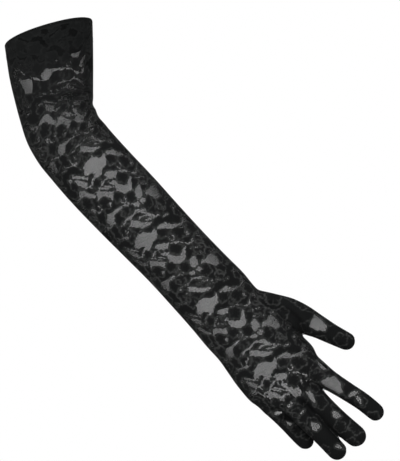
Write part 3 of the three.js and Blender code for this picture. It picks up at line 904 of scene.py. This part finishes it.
# The sheer places that show on the fingers: x, z, half length, half width and lean, seen from the front.
FINGER_WINDOWS = (
    (258.7, -279.4, 8.5, 6.2, -38),
    (273.1, -337.9, 10.5, 6.5, -35),
    (276.5, -366.7, 4.6, 3.0, -30),
    (256.2, -377.6, 4.8, 3.8, -40),
    (292.5, -346.5, 5.2, 2.2, 25),
    (298.0, -352.0, 4.6, 1.8, -60),
    (279.0, -397.0, 3.6, 2.2, -20),
    (263.0, -319.5, 5.5, 2.4, -38),
    (252.4, -349.0, 6.5, 2.1, -62),
    (231.8, -357.2, 4.2, 1.8, 48),
    (226.1, -348.6, 2.6, 1.6, 30),
    (243.3, -364.3, 3.0, 1.0, 50),
    (221.5, -364.5, 5.5, 1.6, 18),
    (231.0, -375.0, 3.0, 1.5, -30),
)


def finger_value(points):
    """Positive outside the fingers' sheer places, with ragged edges, about in millimetres."""
    value = np.full(len(points), np.inf)
    for x, z, long, wide, lean in FINGER_WINDOWS:
        along, over = leaning(points, x, z, lean)
        around = np.arctan2(over / wide, along / long)
        ragged = 1 + RAGGED * np.sin(3 * around + x) + SMALL_RAGGED * np.sin(7 * around + z)
        value = np.minimum(value, (np.hypot(along / long, over / wide) - ragged) * wide)
    return value


def closer(row, at):
    """How much closer the lace is at each place."""
    by, start, over = row
    return by * np.clip((at - start) / over, 0, 1)


def panel_value(points, columns):
    """The lace's value over a panel, with the firm strips along its edges."""
    value = lace_value(columns["t"], columns["s"])
    value += closer(WRIST_CLOSER, columns["s"])
    value += closer(HAND_CLOSER, columns["s"])
    value += closer(HEM_CLOSER, -columns["run"])
    on_finger = columns["limb"] > 0.5
    value = np.where(on_finger, np.minimum(value + FINGER_CLOSER, finger_value(points)), value)
    value = np.maximum(value, SEAM_STRIP - columns["edge"])
    near_rim = np.where(on_finger, -FAR_OFF, HEM_STRIP - (columns["run"] - PANEL_START))
    return np.maximum(value, near_rim)


def lace_parts(points, columns, faces):
    """A panel's flowers and its sheer windows."""
    points, faces, columns = tidy(points, faces, columns)
    columns["value"] = panel_value(points, columns)
    points, columns, flowers, windows, _ = cut(points, faces, columns, columns["value"])
    return points, columns, flowers, windows


panels = {}
for name, faces in (("back", back_faces), ("palm", palm_faces)):
    panels[name] = lace_parts(cloth_points, cloth, faces)
    print(name, "flowers", len(panels[name][2]), "net", len(panels[name][3]), "triangles")

# %% [markdown]
# A shader is easier to read as sums, so a small class wraps a socket and lets plus and times add the
# Math nodes.

# %% Shader expressions
class Value:
    """A shader socket that can be added and multiplied."""

    def __init__(self, tree, socket):
        self.tree = tree
        self.socket = socket

    def node(self, kind, settings=None, inputs=None, output=0):
        """Adds any node: its settings first, then the values or links of its sockets."""
        made = self.tree.nodes.new(kind)
        for key, setting in (settings or {}).items():
            setattr(made, key, setting)
        for key, given in (inputs or {}).items():
            if isinstance(given, Value):
                self.tree.links.new(given.socket, made.inputs[key])
            else:
                made.inputs[key].default_value = given
        return Value(self.tree, made.outputs[output])

    def math(self, operation, a, b):
        """Adds a Math node for two values."""
        return self.node("ShaderNodeMath", {"operation": operation}, {0: a, 1: b})

    def __add__(self, other):
        return self.math("ADD", self, other)

    def __radd__(self, other):
        return self.math("ADD", other, self)

    def __mul__(self, other):
        return self.math("MULTIPLY", self, other)


def new_material(name, rough, specular):
    """A material with its principled shader, ready for expressions."""
    material = bpy.data.materials.new(name)
    material.use_nodes = True
    tree = material.node_tree
    shader = tree.nodes["Principled BSDF"]
    shader.inputs["Roughness"].default_value = rough
    shader.inputs["Specular IOR Level"].default_value = specular
    return material, shader, Value(tree, None)


def link(value, shader, name):
    """Feeds an expression to one of the shader's sockets."""
    value.tree.links.new(value.socket, shader.inputs[name])


# %% [markdown]
# The flowers are flat black thread, laid close like satin stitch, so they have a fine grain of ribs and
# a little dusty variation, which lighten the black as wear and partly as a painted sheen on the ribs.
# Their veins and cut edges get a painted sheen highlight. The net is the same thread, thinner, and
# looks a shade lighter.

# %% Thread materials
BLACK = (0.003, 0.0032, 0.0033, 1)
# A lighter black for wear, partly a painted sheen on the ribs.
WORN_SHEEN_BLACK = (0.007, 0.0074, 0.0074, 1)
# The paler grey of the painted sheen highlight on the veins and cut edges.
VEIN_SHEEN_GREY = (0.05, 0.051, 0.05, 1)
NET_BLACK = (0.007, 0.0072, 0.0072, 1)
THREAD_ROUGH = 0.85
THREAD_SPECULAR = 0.02
DUST_FINE = 90.0
VEIN_LEAST = 0.35
VEIN_DUST = 0.8
BUMP_DEEP = 0.0003

# Sockets that share a name with others are reached by number.
WAVE_FACTOR = 1
ATTRIBUTE_FACTOR = 2
MIX_FROM = 6
MIX_TO = 7
MIX_RESULT = 2

# How much the ribs, the ribs across them and the dust have in the wear and painted sheen, and in the
# height.
WORN_SHEEN_SHARES = (0.3, 0.15, 0.55)
HEIGHT_SHARES = (0.6, 0.3, 0.3)

# What each kind of thread looks like: its dark colour, how close its ribs are and how high they stand.
THREADS = {
    "flower_thread": (BLACK, 28.0, 0.5),
    "net_thread": (NET_BLACK, 40.0, 0.2),
    "seam_thread": (BLACK, 55.0, 0.4),
    "hem_cloth": (BLACK, 30.0, 0.6),
}


def mixed(shares, layers):
    """The layers added up, each by its share."""
    first, *others = [layer * share for layer, share in zip(layers, shares)]
    return sum(others, first)


def thread_material(name, dark, rib, bump):
    """Black thread whose ribs follow the cloth's own directions, worn paler in places with a painted sheen
    on the ribs, and with a painted sheen highlight along the veins.
    """
    material, shader, start = new_material(name, THREAD_ROUGH, THREAD_SPECULAR)
    cloth = start.node("ShaderNodeUVMap", {"uv_map": "Cloth"})
    ribs = start.node("ShaderNodeTexWave", {"wave_type": "BANDS", "bands_direction": "DIAGONAL"},
                      {"Vector": cloth, "Scale": rib, "Distortion": 2.5, "Detail": 1.0,
                       "Detail Scale": 0.6}, WAVE_FACTOR)
    cross = start.node("ShaderNodeTexWave", {"wave_type": "BANDS", "bands_direction": "X"},
                       {"Vector": cloth, "Scale": rib * 0.8, "Distortion": 1.0}, WAVE_FACTOR)
    place_in = start.node("ShaderNodeTexCoord", output="Object")
    dust = start.node("ShaderNodeTexNoise", None, {"Vector": place_in, "Scale": DUST_FINE, "Detail": 3.0})
    layers = (ribs, cross, dust)
    # The ribs and dust lighten the black: wear, and partly a painted sheen on the raised ribs.
    worn_and_sheen = mixed(WORN_SHEEN_SHARES, layers)
    colour = start.node("ShaderNodeMix", {"data_type": "RGBA"},
                        {"Factor": worn_and_sheen, MIX_FROM: dark, MIX_TO: WORN_SHEEN_BLACK}, MIX_RESULT)
    # Painted sheen highlight: the vein mask mixes in a paler grey.
    vein_sheen = start.node("ShaderNodeAttribute", {"attribute_name": "VeinSheen"}, output=ATTRIBUTE_FACTOR)
    shown = vein_sheen * (VEIN_LEAST + dust * VEIN_DUST)
    colour = start.node("ShaderNodeMix", {"data_type": "RGBA"},
                        {"Factor": shown, MIX_FROM: colour, MIX_TO: VEIN_SHEEN_GREY}, MIX_RESULT)
    link(colour, shader, "Base Color")
    raised = start.node("ShaderNodeBump", None, {"Strength": bump, "Distance": BUMP_DEEP,
                                                 "Height": mixed(HEIGHT_SHARES, layers)})
    link(raised, shader, "Normal")
    return material


materials = {name: thread_material(name, *look) for name, look in THREADS.items()}
print("materials", list(materials))

# %% [markdown]
# Each panel's flowers get a wall, thinner at their edges: the outer face stands up over the petals and
# along their corded edges, and the inner face is smooth. Solidify could make a wall, but only an even
# one, so the two faces and the cut edges are joined here into a closed shell. The two panels leave each
# other a little air along the seam.

# %% Flowers with a wall
UV_SCALE = 0.01
SHARP = 42
SLEEVE_END = 230
WALL = 0.55
WALL_AT_EDGE = 0.55
EASE_OVER = 1.2
RIM_OVER = 3
PETAL_HIGH = 0.28
CORD_HIGH = 0.16
CORD_AT = 0.7
CORD_HALF = 0.5
# Where, how wide and how strong the painted sheen highlight just inside the cut edges is.
EDGE_SHEEN_AT = 0.5
EDGE_SHEEN_HALF = 0.5
EDGE_SHEEN_MOST = 0.6
SEAM_AIR = 0.12
SEAM_AIR_OVER = 0.5


def mesh_object(name, points, faces, columns, material, sharp=SHARP):
    """A mesh object in metres with its cloth map and painted vein sheen, smooth over its faces, sharp at
    its edges.
    """
    mesh = bpy.data.meshes.new(name)
    mesh.from_pydata((points * MM).tolist(), [], faces.tolist())
    corners = np.asarray(faces).reshape(-1)
    cloth_map = mesh.uv_layers.new(name="Cloth")
    both = np.stack([columns["t"][corners], columns["s"][corners]], axis=1) * UV_SCALE
    cloth_map.data.foreach_set("uv", both.reshape(-1))
    vein_sheen = mesh.attributes.new("VeinSheen", "FLOAT", "POINT")
    vein_sheen.data.foreach_set("value", columns.get("vein_sheen", np.zeros(len(points))))
    mesh.polygons.foreach_set("use_smooth", np.ones(len(mesh.polygons), bool))
    mesh.set_sharp_from_angle(angle=math.radians(sharp))
    mesh.materials.append(material)
    mesh.validate()
    return add_object(name, mesh)


def parted(faces, columns):
    """Sorts a panel's faces into those of the sleeve and those of the forearm and hand."""
    on_sleeve = (columns["limb"][faces] < 0.5).all(axis=1)
    high = on_sleeve & (columns["run"][faces].mean(axis=1) < SLEEVE_END)
    return {"sleeve": faces[high], "hand": faces[~high]}


def walled(points, columns, faces):
    """A closed shell from an open skin: an outer face with relief, an inner face and their rims."""
    points, faces, columns = tidy(points, faces, columns)
    sides = sides_of(faces)
    _, index, count = np.unique(np.sort(sides, axis=1), axis=0, return_inverse=True, return_counts=True)
    rim = sides[count[index.reshape(-1)] == 1]
    normal = unit(columns["normal"])
    t, s = columns["t"], columns["s"]
    value = np.clip(columns["value"], 0, None)
    ease = np.clip(value / EASE_OVER, 0, 1)
    relief = PETAL_HIGH * petal_relief(t, s) * ease
    relief += CORD_HIGH * np.exp(-((value - CORD_AT) / CORD_HALF) ** 2)
    relief *= np.where(columns["limb"] < 0.5, np.clip((columns["run"] - PANEL_START) / RIM_OVER, 0, 1), 1)
    shift = np.zeros_like(points)
    shift[:, 1] = np.sign(columns["side"]) * (np.clip(1 - columns["edge"] / SEAM_AIR_OVER, 0, 1) * SEAM_AIR)
    outer = points + normal * relief[:, None] + shift
    wall = WALL * (WALL_AT_EDGE + (1 - WALL_AT_EDGE) * ease)
    inner = points - normal * wall[:, None] + shift
    n = len(points)
    rim_faces = np.concatenate([np.stack([rim[:, 1], rim[:, 0], rim[:, 0] + n], 1),
                                np.stack([rim[:, 1], rim[:, 0] + n, rim[:, 1] + n], 1)])
    # A painted sheen highlight just inside every cut edge, joined to the painted sheen on the veins.
    beside = np.exp(-((value - EDGE_SHEEN_AT) / EDGE_SHEEN_HALF) ** 2) * EDGE_SHEEN_MOST
    vein_sheen = np.maximum(petal_vein_sheen(t, s), beside) * vein_sheen_shown(s)
    doubled = {key: np.concatenate([data, data]) for key, data in dict(t=t, s=s, vein_sheen=vein_sheen).items()}
    all_faces = np.concatenate([faces, faces[:, ::-1] + n, rim_faces])
    return np.concatenate([outer, inner]), all_faces, doubled


flowers = {}
for name, (points, columns, flower_faces, _) in panels.items():
    for part, part_faces in parted(flower_faces, columns).items():
        shell, shell_faces, shell_columns = walled(points, columns, part_faces)
        flowers[name, part] = mesh_object(f"{name}_{part}_lace", shell, shell_faces, shell_columns,
                                          materials["flower_thread"])
        print(flowers[name, part].name, len(shell_faces), "triangles")

# %% [markdown]
# The net in the windows is real thread: two sets of fine strands that cross at a slant, as in stretch
# tulle. A see-through texture would be lighter, but threads look closer together by themselves where
# the sleeve turns away, as tulle does. Their paths are found where evenly spaced lines of the cloth
# cross the window faces, and a Geometry Nodes tree turns every path into a strand.

# %% A tree that turns paths into strands
STRAND_SOCKETS = {"Geometry": "Geometry", "Thread radius": "Float", "Step": "Float", "Sides": "Int",
                  "Smoothing": "Int", "Material": "Material"}


def strand_tree():
    """Geometry Nodes: mesh edges to curves, evened out, given a round section and a material."""
    tree = bpy.data.node_groups.new("strands", "GeometryNodeTree")
    for name, kind in STRAND_SOCKETS.items():
        tree.interface.new_socket(name, in_out="INPUT", socket_type="NodeSocket" + kind)
    tree.interface.new_socket("Geometry", in_out="OUTPUT", socket_type="NodeSocketGeometry")
    given = tree.nodes.new("NodeGroupInput").outputs
    result = tree.nodes.new("NodeGroupOutput").inputs

    def node(kind, output, links, **settings):
        """Adds a node, sets it up, links its inputs, and gives one of its outputs."""
        made = tree.nodes.new("GeometryNode" + kind)
        for key, setting in settings.items():
            setattr(made, key, setting)
        for key, source in links.items():
            tree.links.new(source, made.inputs[key])
        return made.outputs[output]

    curves = node("MeshToCurve", "Curve", {"Mesh": given["Geometry"]})
    even = node("ResampleCurve", "Curve", {"Curve": curves, "Length": given["Step"]}, mode="LENGTH")
    where = node("InputPosition", "Position", {})
    smooth = node("BlurAttribute", "Value", {"Value": where, "Iterations": given["Smoothing"]},
                  data_type="FLOAT_VECTOR")
    moved = node("SetPosition", "Geometry", {"Geometry": even, "Position": smooth})
    ring = node("CurvePrimitiveCircle", "Curve",
                {"Resolution": given["Sides"], "Radius": given["Thread radius"]})
    tube = node("CurveToMesh", "Mesh", {"Curve": moved, "Profile Curve": ring})
    tube.node.inputs["Fill Caps"].default_value = True
    real = node("RealizeInstances", "Geometry", {"Geometry": tube})
    painted = node("SetMaterial", "Geometry", {"Geometry": real, "Material": given["Material"]})
    tree.links.new(painted, result["Geometry"])
    return tree


STRANDS = strand_tree()
print("strand tree:", len(STRANDS.nodes), "nodes")


def strands(name, points, edges, material, radius, step, sides, smoothing=0):
    """Threads along paths, as one plain mesh. The paths, radius and step are in millimetres."""
    paths = bpy.data.meshes.new(name + "_paths")
    paths.from_pydata((points * MM).tolist(), edges.tolist(), [])
    host = add_object(name + "_paths", paths)
    modifier = host.modifiers.new("grow", "NODES")
    modifier.node_group = STRANDS
    sockets = {item.name: item.identifier for item in STRANDS.interface.items_tree
               if item.in_out == "INPUT"}
    modifier[sockets["Thread radius"]] = radius * MM
    modifier[sockets["Step"]] = step * MM
    modifier[sockets["Sides"]] = sides
    modifier[sockets["Smoothing"]] = smoothing
    modifier[sockets["Material"]] = materials[material]
    mesh = evaluated(host)
    mesh.name = name
    if "Cloth" not in mesh.uv_layers:
        mesh.uv_layers.new(name="Cloth")
    print(name, sum(len(p.vertices) - 2 for p in mesh.polygons), "triangles")
    return add_object(name, mesh)


# %% The net's paths
NET_PITCH = 0.87
NET_RADIUS = 0.19
NET_SLANTS = {"back": (25, -65), "palm": (65, -25)}
NET_COARSER = 1.0
NET_STEP = 2.8
NET_SUNK = 0.4
OFF_CORNERS = 1e-7
MOST_LINES = 40
DENSER = 0.12
DENSE_FROM = 130
DENSE_OVER = 80


def drawn_up(t, s):
    """The cloth's directions for the net, drawn closer towards the cuff, where it is stretched less."""
    above = np.clip(DENSE_FROM - s, 0, None)
    ramp = np.minimum(above, DENSE_OVER)
    closer = DENSER * (ramp**2 / (2 * DENSE_OVER) + above - ramp)
    return t * (1 + DENSER * ramp / DENSE_OVER), s - closer


def crossings(middle, faces, value):
    """The points where whole values cross the faces' sides, and the edges between them."""
    corner = value[faces]
    low = np.ceil(corner.min(axis=1)).astype(int)
    high = np.floor(corner.max(axis=1)).astype(int)
    keys, places, owners = [], [], []
    for extra in range(min(int(max(0, (high - low).max())) + 1, MOST_LINES)):
        number = low + extra
        for a, b in ((0, 1), (1, 2), (2, 0)):
            va, vb = corner[:, a], corner[:, b]
            hit = (number <= high) & ((va < number) != (vb < number))
            f = ((number - va) / np.where(vb == va, 1, vb - va))[hit][:, None]
            ia, ib = faces[hit, a], faces[hit, b]
            places.append(middle[ia] * (1 - f) + middle[ib] * f)
            side = np.sort(np.stack([ia, ib], 1), axis=1)
            keys.append(np.stack([side[:, 0], side[:, 1], number[hit]], 1))
            owners.append(np.stack([np.nonzero(hit)[0], number[hit]], 1))
    keys, places, owners = np.concatenate(keys), np.concatenate(places), np.concatenate(owners)
    _, first, index = np.unique(keys, axis=0, return_index=True, return_inverse=True)
    order = np.lexsort((owners[:, 1], owners[:, 0]))
    index, owners = index.reshape(-1)[order], owners[order]
    same = np.all(owners[:-1] == owners[1:], axis=1)
    joined = np.stack([index[:-1][same], index[1:][same]], axis=1)
    return places[first], joined[joined[:, 0] != joined[:, 1]]


def joined_paths(parts):
    """Several sets of path points and edges as one."""
    points, edges, start = [], [], 0
    for part_points, part_edges in parts:
        points.append(part_points)
        edges.append(part_edges + start)
        start += len(part_points)
    return np.concatenate(points), np.concatenate(edges)


def net_paths(points, columns, faces, slants):
    """The points and edges of evenly spaced threads that cross the faces at each slant."""
    points, faces, columns = tidy(points, faces, columns)
    middle = points - unit(columns["normal"]) * WALL * NET_SUNK
    around, along = drawn_up(columns["t"], columns["s"])
    pitch = NET_PITCH * NET_COARSER
    sets = []
    for angle in map(math.radians, slants):
        value = (around * math.cos(angle) + along * math.sin(angle)) / pitch + OFF_CORNERS
        sets.append(crossings(middle, faces, value))
    return joined_paths(sets)


def thread_long(points, edges):
    """The length of all the paths."""
    return np.linalg.norm(points[edges[:, 0]] - points[edges[:, 1]], axis=1).sum()


def area(points, faces):
    """The area of all the faces."""
    a, b, c = (points[faces[:, k]] for k in range(3))
    return np.linalg.norm(np.cross(b - a, c - a), axis=1).sum() / 2


nets = {}
for name, (points, columns, _, window_faces) in panels.items():
    for part, part_faces in parted(window_faces, columns).items():
        path_points, path_edges = net_paths(points, columns, part_faces, NET_SLANTS[name])
        print(name, part, "thread", round(thread_long(path_points, path_edges)), "mm over",
              round(area(points, part_faces)), "square mm")
        nets[name, part] = strands(f"{name}_{part}_net", path_points, path_edges, "net_thread",
                                   NET_RADIUS * NET_COARSER, NET_STEP, sides=3)

# %% [markdown]
# The hem is the top edge folded in: a double band inside the cuff whose fold shows as a clean rim. The
# panel's own edge could be folded over, but its cut holes would make the fold ragged. So the band is
# swept round the cuff from a small profile, whose points are the distance from the rim and how far in
# from the panel's outer face.

# %% The folded hem
HEM_DEEP = 18
HEM_PROFILE = (
    (17.8, 1.95), (9, 2.0), (1.3, 1.95), (0.35, 1.65), (-0.1, 0.95), (0.2, 0.15), (0.9, -0.22),
    (1.7, -0.3), (2.1, -0.1), (1.9, 0.25), (1.2, 0.6), (1.4, 1.2), (9, 1.35), (17.8, 1.35),
)
HEM_ROUND = 220
HEM_SHARP = 60
CUFF_RADIUS = 42


def round_cuff(run, inset, theta):
    """Points round the cuff, each run from the rim, inset from the panel's face and theta around."""
    section = sleeve.section(run)
    across, depth = oval(theta, sleeve.square)
    return place(section, across * (section["half"] - inset), depth * (section["deep"] - inset))


def swept_round(profile, count):
    """Sweeps a profile of (run, inset) pairs round the cuff."""
    theta = np.linspace(0, 2 * np.pi, count, endpoint=False)
    j = np.arange(count)
    after = (j + 1) % count
    rings, along, faces = [], [], []
    for k, (run, inset) in enumerate(profile):
        along.append(np.full(count, float(run)))
        rings.append(round_cuff(along[-1], inset, theta))
        here, there = k * count, (k + 1) % len(profile) * count
        faces.append(np.stack([here + j, here + after, there + after, there + j], axis=1))
    columns = dict(t=np.tile(theta * CUFF_RADIUS, len(profile)), s=np.concatenate(along))
    return np.concatenate(rings), np.concatenate(faces), columns


def outward(points, faces):
    """The faces turned outwards, judged by the volume they enclose."""
    a, b, c = (points[faces[:, k]] for k in range(3))
    volume = np.sum(a * np.cross(b, c))
    return faces if volume > 0 else faces[:, ::-1]


hem_points, hem_faces, hem_columns = swept_round(HEM_PROFILE, HEM_ROUND)
hem = mesh_object("hem_band", hem_points, outward(hem_points, hem_faces), hem_columns,
                  materials["hem_cloth"], HEM_SHARP)
print("hem band", len(hem_faces), "faces")

# %% [markdown]
# One seam joins the panels, from the cuff down the little finger's side, round every fingertip and back
# up the thumb's side. Its line is where the cut parted the panels. Outside it shows as a thin ridge, and
# inside a narrow allowance stands into the glove, bound with overlock loops.

# %% The seam's line
SEAM_STEP = 1.5
SEAM_SMOOTH = 8
LEAST_CHAIN = 60
HEM_CLEAR = HEM_DEEP + 0.6


def chains(edges):
    """Puts edges in order, as long chains of point numbers."""
    beside = {}
    for a, b in edges.tolist():
        beside.setdefault(a, []).append(b)
        beside.setdefault(b, []).append(a)
    seen, found = set(), []
    ends = [v for v, near in beside.items() if len(near) == 1]
    for first in ends + list(beside):
        if first in seen:
            continue
        chain, here = [first], first
        seen.add(first)
        while True:
            onward = [v for v in beside[here] if v not in seen]
            if not onward:
                break
            here = onward[0]
            seen.add(here)
            chain.append(here)
        if len(chain) > LEAST_CHAIN:
            found.append(chain)
    return found


def even_line(line, step, rounds):
    """A line's points made smooth in some rounds, and then even."""
    line = line.copy()
    for _ in range(rounds):
        line[1:-1] = 0.5 * line[1:-1] + 0.25 * (line[:-2] + line[2:])
    far = np.concatenate([[0], np.cumsum(np.linalg.norm(np.diff(line[:, :3], axis=0), axis=1))])
    count = max(4, int(far[-1] / step))
    at = np.linspace(0, far[-1], count)
    return np.stack([np.interp(at, far, line[:, k]) for k in range(line.shape[1])], axis=1)


def below_hem(line):
    """The stretch of a seam line that lies under the hem."""
    top = sleeve.section(np.array([HEM_CLEAR]))
    depth = (line[:, [0, 2]] - top["at"][0]) @ along_from(top["across"])[0]
    return line[depth > 0]


def seam_frame(line):
    """A seam line's points, and its directions outwards, along and beside it."""
    at = line[:, :3]
    normal = unit(line[:, 3:6])
    run = unit(np.gradient(at, axis=0))
    return at, normal, run, unit(np.cross(run, normal))


def run_paths(runs):
    """Each run of points as path points and edges, all joined into one set."""
    return joined_paths([(run, np.stack([np.arange(len(run) - 1), np.arange(1, len(run))], axis=1))
                         for run in runs])


seam_chains = chains(seam_edges)
seam_cloth = np.hstack([cloth_points, unit(cloth["normal"])])
seam_lines = [even_line(seam_cloth[chain], SEAM_STEP, SEAM_SMOOTH) for chain in seam_chains]
print("seam chains", [len(chain) for chain in seam_chains],
      "length", round(sum(len(line) for line in seam_lines) * SEAM_STEP), "mm")

# %% The seam's ridge
RIDGE_RADIUS = 0.42
RIDGE_SUNK = 0.12
RIDGE_STEP = 1.4
ridge_runs = []
for line in seam_lines:
    at, normal, _, _ = seam_frame(line)
    ridge_runs.append(at - normal * RIDGE_SUNK)
seam_ridge = strands("seam_ridge", *run_paths(ridge_runs), "seam_thread", RIDGE_RADIUS, RIDGE_STEP,
                     sides=7, smoothing=2)

# %% The seam's allowance
ALLOWANCE_OUT = 0.75
ALLOWANCE_IN = 2.7
ALLOWANCE_HALF = 0.32
ALLOWANCE_SHARP = 30
ALLOWANCE_WAVE = 0.22
WAVES_PER_MM = 1.3


def allowance(line):
    """A narrow wavy strip that stands in from a seam line, as a closed ribbon."""
    at, normal, _, beside = seam_frame(line)
    wave = ALLOWANCE_WAVE * np.sin(np.arange(len(at)) * SEAM_STEP * WAVES_PER_MM)[:, None]
    far = at - normal * ALLOWANCE_IN + beside * wave
    near = at - normal * ALLOWANCE_OUT
    side = beside * ALLOWANCE_HALF
    strip = np.concatenate([near - side, near + side, far + side, far - side])
    count = len(at)
    k = np.arange(count - 1)
    first = np.arange(4) * count
    faces = [np.stack([a + k, b + k, b + k + 1, a + k + 1], axis=1)
             for a, b in zip(first, np.roll(first, -1))]
    ends = np.array([first[::-1], first + count - 1])
    return strip, np.concatenate([*faces, ends])


strip_points, strip_faces = joined_paths([allowance(below_hem(line)) for line in seam_lines])
strip_columns = dict(t=strip_points[:, 0], s=strip_points[:, 2])
seam_allowance = mesh_object("seam_allowance", strip_points, outward(strip_points, strip_faces),
                             strip_columns, materials["seam_thread"], ALLOWANCE_SHARP)
print("allowance", len(strip_faces), "faces")

# %% [markdown]
# The allowance is overlocked: one thread goes round it in slanting loops. The hem is caught down by a
# cover stitch, with two rows of short stitches outside and a zigzag inside that crosses the raw edge.
# All of these are threads again, so the strand tree grows them from their paths.

# %% Overlock loops and the hem's stitches
LOOP_PITCH = 2.2
LOOP_CLEAR = 0.2
LOOP_DOWN = 0.3
LOOP_STEP = 0.9
STITCH_ROWS = (14.2, 16.6)
STITCH_PITCH = 3.0
STITCH_LONG = 2.2
STITCH_OUT = 0.4
STITCH_IN = 0.3
STITCH_BEND = 0.85
STITCH_STEP = 0.7
ZIGZAG_RUNS = (13.4, 17.0)
ZIGZAG_INSET = 2.15
SEWING_RADIUS = 0.17


def overlock(line):
    """One thread's loops round the allowance of a seam line."""
    at, normal, run, beside = seam_frame(even_line(line, LOOP_PITCH, 0))
    side = beside * (ALLOWANCE_HALF + LOOP_CLEAR)
    near = at - normal * (ALLOWANCE_OUT + LOOP_DOWN)
    far = at - normal * (ALLOWANCE_IN + LOOP_CLEAR)
    on = run * LOOP_PITCH / 2
    loop = [near - side, far - side, far + side, near + side + on]
    return np.stack(loop, axis=1).reshape(-1, 3)


def cover_stitches():
    """Short stitches outside the hem, each dipping through the cloth at its ends."""
    count = int(2 * math.pi * CUFF_RADIUS / STITCH_PITCH)
    ends = STITCH_LONG / 2 / CUFF_RADIUS * np.array([-1.0, -STITCH_BEND, STITCH_BEND, 1.0])
    inset = np.array([STITCH_IN, -STITCH_OUT, -STITCH_OUT, STITCH_IN])
    paths = []
    for run in STITCH_ROWS:
        for middle in np.arange(count) * 2 * math.pi / count:
            paths.append(round_cuff(np.full(4, run), inset, middle + ends))
    return paths


def inner_zigzag():
    """The zigzag of thread on the hem's inner face."""
    count = 2 * int(math.pi * CUFF_RADIUS / STITCH_PITCH) + 1
    theta = np.linspace(0, 2 * math.pi, 2 * count + 1)
    run = np.where(np.arange(len(theta)) % 2 == 0, *ZIGZAG_RUNS)
    return [round_cuff(run, ZIGZAG_INSET, theta)]


loop_paths = run_paths([overlock(below_hem(line)) for line in seam_lines])
overlock_loops = strands("overlock_loops", *loop_paths, "seam_thread", SEWING_RADIUS, LOOP_STEP,
                         sides=3)
stitch_paths = run_paths(cover_stitches() + inner_zigzag())
hem_stitches = strands("hem_stitches", *stitch_paths, "seam_thread", SEWING_RADIUS, STITCH_STEP,
                       sides=5, smoothing=1)

# %% [markdown]
# Nothing in the glove moves by itself, so every piece rides on the one body. The solid model parts each
# panel into stretches, and each stretch is stood for by the flowers that lie over it.

# %% What each piece stands for
STRETCHES = {
    "sleeve": ("sleeve_top", "sleeve_middle"),
    "hand": ("sleeve_wrist", "hand", "thumb", "index", "middle", "ring", "little"),
}
for piece in list(flowers.values()) + list(nets.values()):
    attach(piece, "root")
for (name, part), piece in flowers.items():
    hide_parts(*[f"{name}_{stretch}" for stretch in STRETCHES[part]])
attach(hem, "root")
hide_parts("cuff_hem")
for piece in (seam_ridge, seam_allowance, overlock_loops, hem_stitches):
    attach(piece, "root")
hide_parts("outline_seam")
